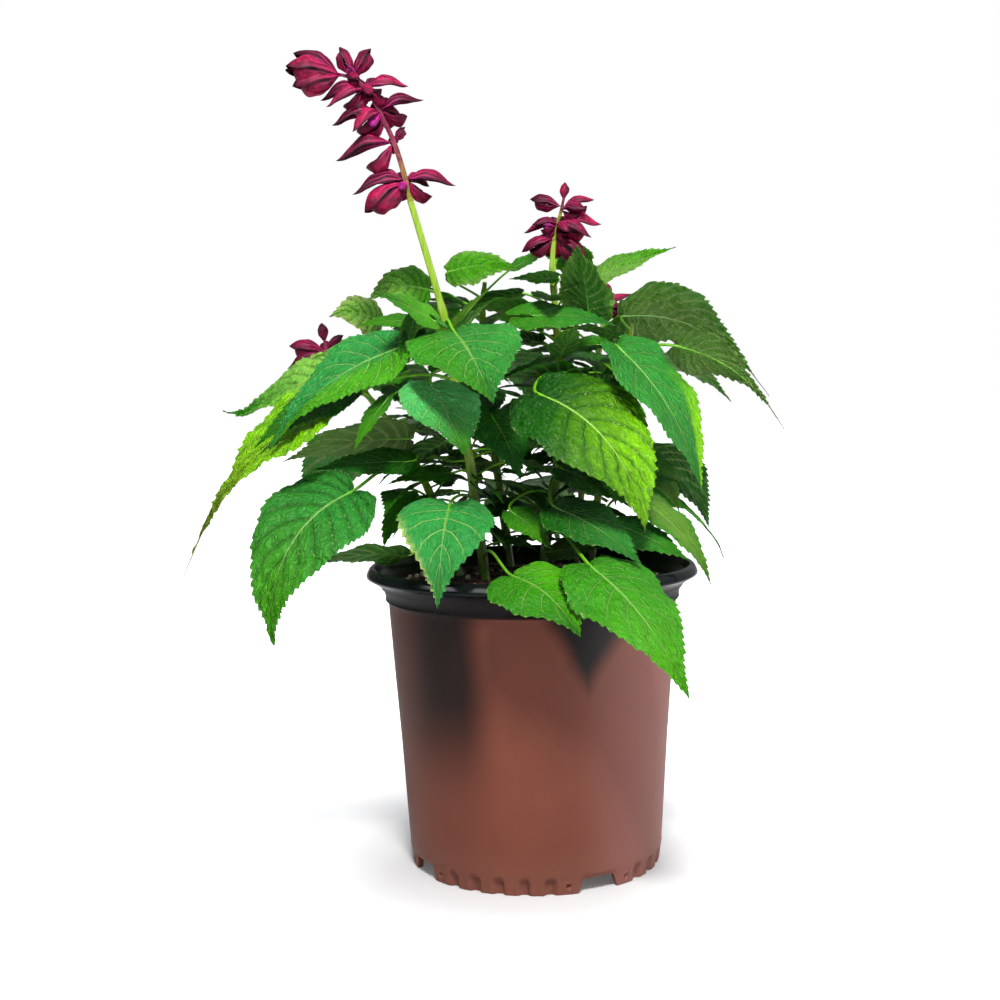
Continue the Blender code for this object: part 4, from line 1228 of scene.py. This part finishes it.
# The wall's outline from the middle of the floor's underside, round the foot, up to the rim and down inside:
# radius and height
potOutline = (
    (0.0, 0.0), (21.6, 0.0), (22.4, 0.4), (23.8, 7.6), (24.6, 8.0), (62.6, 8.0), (63.9, 7.4), (64.4, 6.0),
    (64.4, 3.0), (64.6, 0.3), (65.0, 0.0), (67.0, 0.0), (67.6, 0.3), (67.7, 1.2), (67.8, 2.2), (67.9, 3.2),
    (68.0, 4.2), (68.15, 5.2), (68.3, 6.2), (68.45, 7.2), (68.6, 8.2), (68.8, 9.2), (69.0, 10.4),
    (69.2, 12.0), (69.6, 18.0), (70.9, 38.0), (72.9, 70.0), (75.2, 100.0), (77.2, 128.0), (78.1, 141.5),
    (78.2, 143.0), (78.5, 144.0), (79.5, 144.7), (79.95, 145.2), (79.9, 145.9), (79.7, 146.4),
    (80.1, 148.5), (80.7, 150.3), (81.4, 151.0), (81.9, 151.4), (82.1, 152.0), (82.6, 152.8), (86.0, 155.4),
    (88.9, 157.0), (89.8, 157.5), (90.0, 158.1), (89.95, 158.6), (89.7, 159.3), (89.3, 160.2),
    (88.85, 161.1), (88.35, 161.9), (87.7, 162.5), (87.0, 162.9), (86.3, 163.0), (85.8, 162.7),
    (85.5, 162.0), (85.0, 159.0), (84.2, 157.2), (82.4, 154.8), (80.6, 152.4), (79.8, 150.0), (78.0, 146.0),
    (76.5, 143.0), (75.8, 133.0), (70.0, 50.0), (67.9, 14.0), (66.5, 11.0), (64.0, 9.7), (0.0, 9.7),
)


def dentPress(away, height):
    # how far the foot's wall moves inwards at a dent, away degrees from its middle
    wide = potSettings["dentWidth"] * 0.5
    rounding = max(0.0, height - potSettings["dentTop"] + wide) * 0.9
    off = math.hypot(away, rounding)
    press = 1 - smoothStep(wide * 0.4, wide * 1.05, off)
    fold = math.exp(-((off - wide * 1.3) / 0.45) ** 2) * 0.35
    return potSettings["dentDepth"] * press - fold * smoothStep(0, 2, height)


def dimplePress(sideways, height):
    # how far it moves inwards at a drain dimple, sideways millimetres from its middle
    start, end, lip = potSettings["dimpleRadii"]
    off = math.hypot(sideways, height - potSettings["dimpleHeight"])
    raised = math.exp(-((off - lip) / 0.7) ** 2) * potSettings["lipHeight"]
    return potSettings["dimpleDepth"] * (1 - smoothStep(start, end, off)) - raised


def pressFoot(bm):
    # raises the foot at the drain notches and presses the upright dents and the dimples into it
    quarter = 360 / potSettings["notchCount"]
    spacing = potSettings["dentSpacing"]
    floorTop = potSettings["floorTop"]
    slim, wide = potSettings["notchTopWidth"] / 2, potSettings["notchWidth"] / 2
    last = quarter / spacing - 1
    for vert in bm.verts:
        radius = vert.co.xy.length / mm
        height = vert.co.z / mm
        if radius < potSettings["footInnerRadius"] - 1 or height > potSettings["footTop"]:
            continue
        azimuth = (math.degrees(math.atan2(vert.co.y, vert.co.x)) - potSettings["notchAzimuth"]) % quarter
        sideways = math.radians(min(azimuth, quarter - azimuth)) * radius
        arch = potSettings["notchHeight"] * (1 - smoothStep(slim, wide, sideways))
        if height < floorTop:
            vert.co.z = (arch + height * (1 - arch / floorTop)) * mm
        if radius <= potSettings["wallFrom"]:
            continue
        nearest = round(azimuth / spacing)
        if 1 < nearest < last:
            vert.co.xy *= (radius - dentPress(abs(azimuth - nearest * spacing), height)) / radius
        elif nearest in (1, last):
            centre = potSettings["dimplePlace"] if nearest == 1 else quarter - potSettings["dimplePlace"]
            vert.co.xy *= (radius - dimplePress(math.radians(azimuth - centre) * radius, height)) / radius


def potMaterial():
    material, shader, place = newMaterial("mouldedPlastic")
    x, y, z = split(place)
    drift = noiseAt(place, 11.0, 2.0)
    grain = noiseAt(place, 1400.0, 2.0)
    rings = noiseAt(joined(0.0, 0.0, z), 900.0, 2.0)
    facing = falling(y, -0.02, 0.03)
    # painted shadows on the front: a band on the left and a wedge under the two front leaves
    warped = x + (drift - 0.5) * 0.03
    shadowBand = falling(warped, -0.042, -0.018) * ramp(z, 0.03, 0.105, 0.05, 0.94)
    shadowBand *= ramp(x, -0.076, -0.05, 0.4, 1.0)
    shadowWedge = ramp((z - 0.106) * 0.6 - abs(warped - 0.026), -0.005, 0.008)
    paintedShadow = maths("MAXIMUM", shadowBand, shadowWedge) * facing
    colour = mixed(ramp(drift, 0.35, 0.7, 0.0, 0.3), potSettings["brown"], potSettings["worn"])
    # painted sheen: the right of the front of the wall is lightened
    colour = mixed(ramp(x, 0.02, 0.07, 0.0, 0.5) * facing, colour, potSettings["paintedSheen"])
    colour = mixed(paintedShadow, colour, potSettings["paintedShadow"])
    # lighter towards the foot
    colour = mixed(ramp(z, 0.0, 0.03, 0.3, 0.0), colour, potSettings["paleFoot"])
    colour = mixed(ramp(z, *potSettings["neckFrom"]), colour, potSettings["neck"])
    colour = mixed(ramp(z, *potSettings["rimFrom"]), colour, potSettings["rim"])
    surface(shader, colour, grain * 0.6 + rings * 0.4, 0.12, 0.0002)
    feed(shader.inputs["Roughness"], ramp(z, *potSettings["glossFrom"], 0.46, 0.16) + drift * 0.06)
    shader.inputs["Specular IOR Level"].default_value = 0.16
    return material


def makePot():
    bm = spunShape(potOutline, potSettings["segments"])
    pressFoot(bm)
    finishPiece(bm, "nursery_pot", potMaterial(), ("pot",), 35)


# Soil

soilSettings = {
    "seed": 11,
    "rings": 26,
    "segments": 96,
    "level": 154.0,
    "edgeLevel": 151.2,
    "edgeRadius": 78.8,
    "sides": ((0.0, 10.4), (62.9, 10.4), (66.5, 14.2), (75.3, 143.0)),   # radius and height, below the top
    "topFrom": 150.0,         # points above this height belong to the uneven top
    "margin": 4.0,            # kept free of chips and grains along the pot
    "chips": 170,
    "crumbs": 420,
    "grains": 60,
    "chipSize": (2.6, 7.5),
    "crumbSize": (0.8, 2.4),
    "grainSize": (0.7, 1.7),
    "bark": srgb(74, 44, 28),
    "peat": srgb(34, 24, 18),
    "freshBark": srgb(118, 78, 50),
    "perlite": srgb(222, 214, 196),
    "stained": srgb(160, 146, 120),
}


def soilMaterial():
    material, shader, place = newMaterial("barkMix")
    clods = noiseAt(place, 240.0, 4.0, 0.65)
    chips = cellsAt(place, 330.0, "F1")
    colour = mixed(ramp(clods, 0.35, 0.7), soilSettings["peat"], soilSettings["bark"])
    colour = mixed(ramp(chips, 0.2, 0.7, 0.35, 0.0), colour, soilSettings["freshBark"])
    surface(shader, colour, clods + chips * 0.6, 0.9, 0.0012)
    shader.inputs["Roughness"].default_value = 0.88
    shader.inputs["Specular IOR Level"].default_value = 0.25
    return material


def grainMaterial():
    material, shader, place = newMaterial("perlite")
    spots = noiseAt(place, 900.0)
    colour = mixed(ramp(spots, 0.4, 0.7), soilSettings["perlite"], soilSettings["stained"])
    surface(shader, colour, spots, 0.6, 0.0003)
    shader.inputs["Roughness"].default_value = 0.8
    return material


def soilHeight(x, y):
    spot = Vector((x, y, 0))
    away = math.hypot(x, y) / soilSettings["edgeRadius"]
    rough = noise.noise(spot * 0.06) * 1.6 + noise.noise(spot * 0.22) * 0.9 + noise.noise(spot * 0.7) * 0.5
    level = soilSettings["level"] - 2.0 * smoothStep(0.75, 1.0, away)
    return level + rough * (1 - 0.5 * smoothStep(0.9, 1.0, away))


def soilSpot(draw):
    # a random place on the soil, evenly spread
    reach = (soilSettings["edgeRadius"] - soilSettings["margin"]) * math.sqrt(draw.random())
    turn = draw.uniform(0, math.tau)
    return reach * math.cos(turn), reach * math.sin(turn)


def addChip(bm, draw, large):
    # a flat piece of bark, or a rounder crumb
    x, y = soilSpot(draw)
    size = draw.uniform(*soilSettings["chipSize" if large else "crumbSize"])
    verts = bmesh.ops.create_cube(bm, size=1)["verts"]
    for vert in verts:
        vert.co += Vector([draw.uniform(-0.22, 0.22) for _ in range(3)])
    shape = (size, size * draw.uniform(0.35, 0.7), size * draw.uniform(0.16, 0.4 if large else 0.8))
    place = Matrix.Translation(vec((x, y, soilHeight(x, y) + shape[2] * 0.3)))
    place @= Matrix.Rotation(draw.uniform(0, math.tau), 4, "Z")
    place @= Matrix.Rotation(draw.uniform(-0.5, 0.5), 4, "X")
    bmesh.ops.transform(bm, matrix=place @ Matrix.Diagonal((*vec(shape), 1)), verts=verts)


def makeSoil():
    rings = soilSettings["rings"]
    edge = soilSettings["edgeRadius"]
    profile = [*soilSettings["sides"], (edge, soilSettings["edgeLevel"])]
    profile += [(edge * (1 - i / rings), soilSettings["level"]) for i in range(1, rings + 1)]
    bm = spunShape(profile, soilSettings["segments"])
    for vert in bm.verts:
        if vert.co.z > soilSettings["topFrom"] * mm:
            vert.co.z = soilHeight(vert.co.x / mm, vert.co.y / mm) * mm
    draw = random.Random(soilSettings["seed"])
    for index in range(soilSettings["chips"] + soilSettings["crumbs"]):
        addChip(bm, draw, index < soilSettings["chips"])
    finishPiece(bm, "soil_filling", soilMaterial(), ("soil",), 40)
    bm = bmesh.new()
    for _ in range(soilSettings["grains"]):
        x, y = soilSpot(draw)
        size = draw.uniform(*soilSettings["grainSize"])
        verts = bmesh.ops.create_icosphere(bm, subdivisions=2, radius=size * mm)["verts"]
        spot = vec((x, y, soilHeight(x, y) + size * 0.5))
        for vert in verts:
            vert.co *= 1 + 0.3 * noise.noise(vert.co * 700 + spot * 90)
        bmesh.ops.translate(bm, verts=verts, vec=spot)
    finishPiece(bm, "perlite_grains", grainMaterial(), (), 60)


# Floor and light

# Area lamps: place in metres, width and height, power, colour, and whether matt and glossy surfaces show them
lamps = {
    "key": ((0.06, -1.0, 1.42), 0.32, 0.32, 32, (1.0, 0.99, 0.96), True, True),
    "right": ((1.0, -0.7, 1.2), 0.8, 0.8, 3.5, (1.0, 0.98, 0.95), True, True),
    "back": ((0.5, 1.3, 1.2), 0.9, 0.9, 10, (0.96, 0.98, 1.0), True, False),
    "sheen": ((-0.8, -0.9, 1.05), 2.2, 0.4, 22, (0.97, 0.99, 1.0), False, True),
    "edge": ((1.3, -0.7, 0.3), 0.8, 0.8, 26, (1.0, 0.96, 0.97), False, True),
}

stageSettings = {
    "aim": (0, 0, 200),       # millimetres, where all lamps point
    "ambient": (0.18, 0.52),  # strength of the light from low and from high all round
    "leftAndRight": (0.2, 1.25),   # shares of that light from the left and from the right
    "floor": srgb(206, 207, 210),
    "glowNear": (0.07, 0.155, 0.1, 0.5),   # metres from the pot's axis, and how much the floor glows there
    "glowFar": (0.11, 0.24, 0.0, 0.6),
    "floorBounce": 0.2,       # how much of the floor's glow reaches the pot
    "floorHalf": 8.0,
}


def cameraRay(tree):
    # 1 for what the camera sees itself, 0 for what is lit or mirrored
    return source(tree, "ShaderNodeLightPath", "Is Camera Ray")


def makeFloor():
    bm = bmesh.new()
    bmesh.ops.create_grid(bm, x_segments=2, y_segments=2, size=stageSettings["floorHalf"])
    mesh = bpy.data.meshes.new("floor")
    bm.to_mesh(mesh)
    bm.free()
    floor = addObject("floor", mesh)
    material, shader, place = newMaterial("paleFloor")
    shader.inputs["Base Color"].default_value = (*stageSettings["floor"], 1)
    shader.inputs["Roughness"].default_value = 0.7
    shader.inputs["Emission Color"].default_value = (1, 1, 1, 1)
    x, y, _ = split(place)
    away = maths("SQRT", x * x + y * y)
    glow = ramp(away, *stageSettings["glowNear"]) + ramp(away, *stageSettings["glowFar"])
    seen = ramp(cameraRay(place.tree), 0.0, 1.0, stageSettings["floorBounce"], 1.0)
    feed(shader.inputs["Emission Strength"], glow * seen)
    mesh.materials.append(material)


def makeLamps():
    for name, (place, width, height, power, colour, matt, glossy) in lamps.items():
        data = bpy.data.lights.new(name, "AREA")
        data.shape = "ELLIPSE"
        data.size = width
        data.size_y = height
        data.energy = power
        data.color = colour
        lamp = addObject(name, data)
        aim = (vec(stageSettings["aim"]) - Vector(place)).to_track_quat("-Z", "Y").to_matrix().to_4x4()
        lamp.matrix_world = Matrix.Translation(place) @ aim
        lamp.visible_diffuse = matt
        lamp.visible_glossy = glossy


def makeWorld():
    world = bpy.data.worlds.new("studio")
    world.use_nodes = True
    tree = world.node_tree
    background = tree.nodes["Background"]
    background.inputs["Color"].default_value = (1.0, 1.0, 1.0, 1)
    sideways, _, rising = split(source(tree, "ShaderNodeTexCoord", "Generated"))
    around = ramp(rising, -0.1, 0.7, *stageSettings["ambient"])
    around *= ramp(sideways, -0.9, 0.5, *stageSettings["leftAndRight"])
    feed(background.inputs["Strength"], ramp(cameraRay(tree), 0.0, 1.0, around, 1.0))
    bpy.context.scene.world = world
    bpy.context.scene.view_settings.view_transform = "Standard"


makeCamera()
makeFloor()
makeLamps()
makeWorld()
print("stage ready")
makePot()
makeSoil()
makeStems()
makeFlowers()
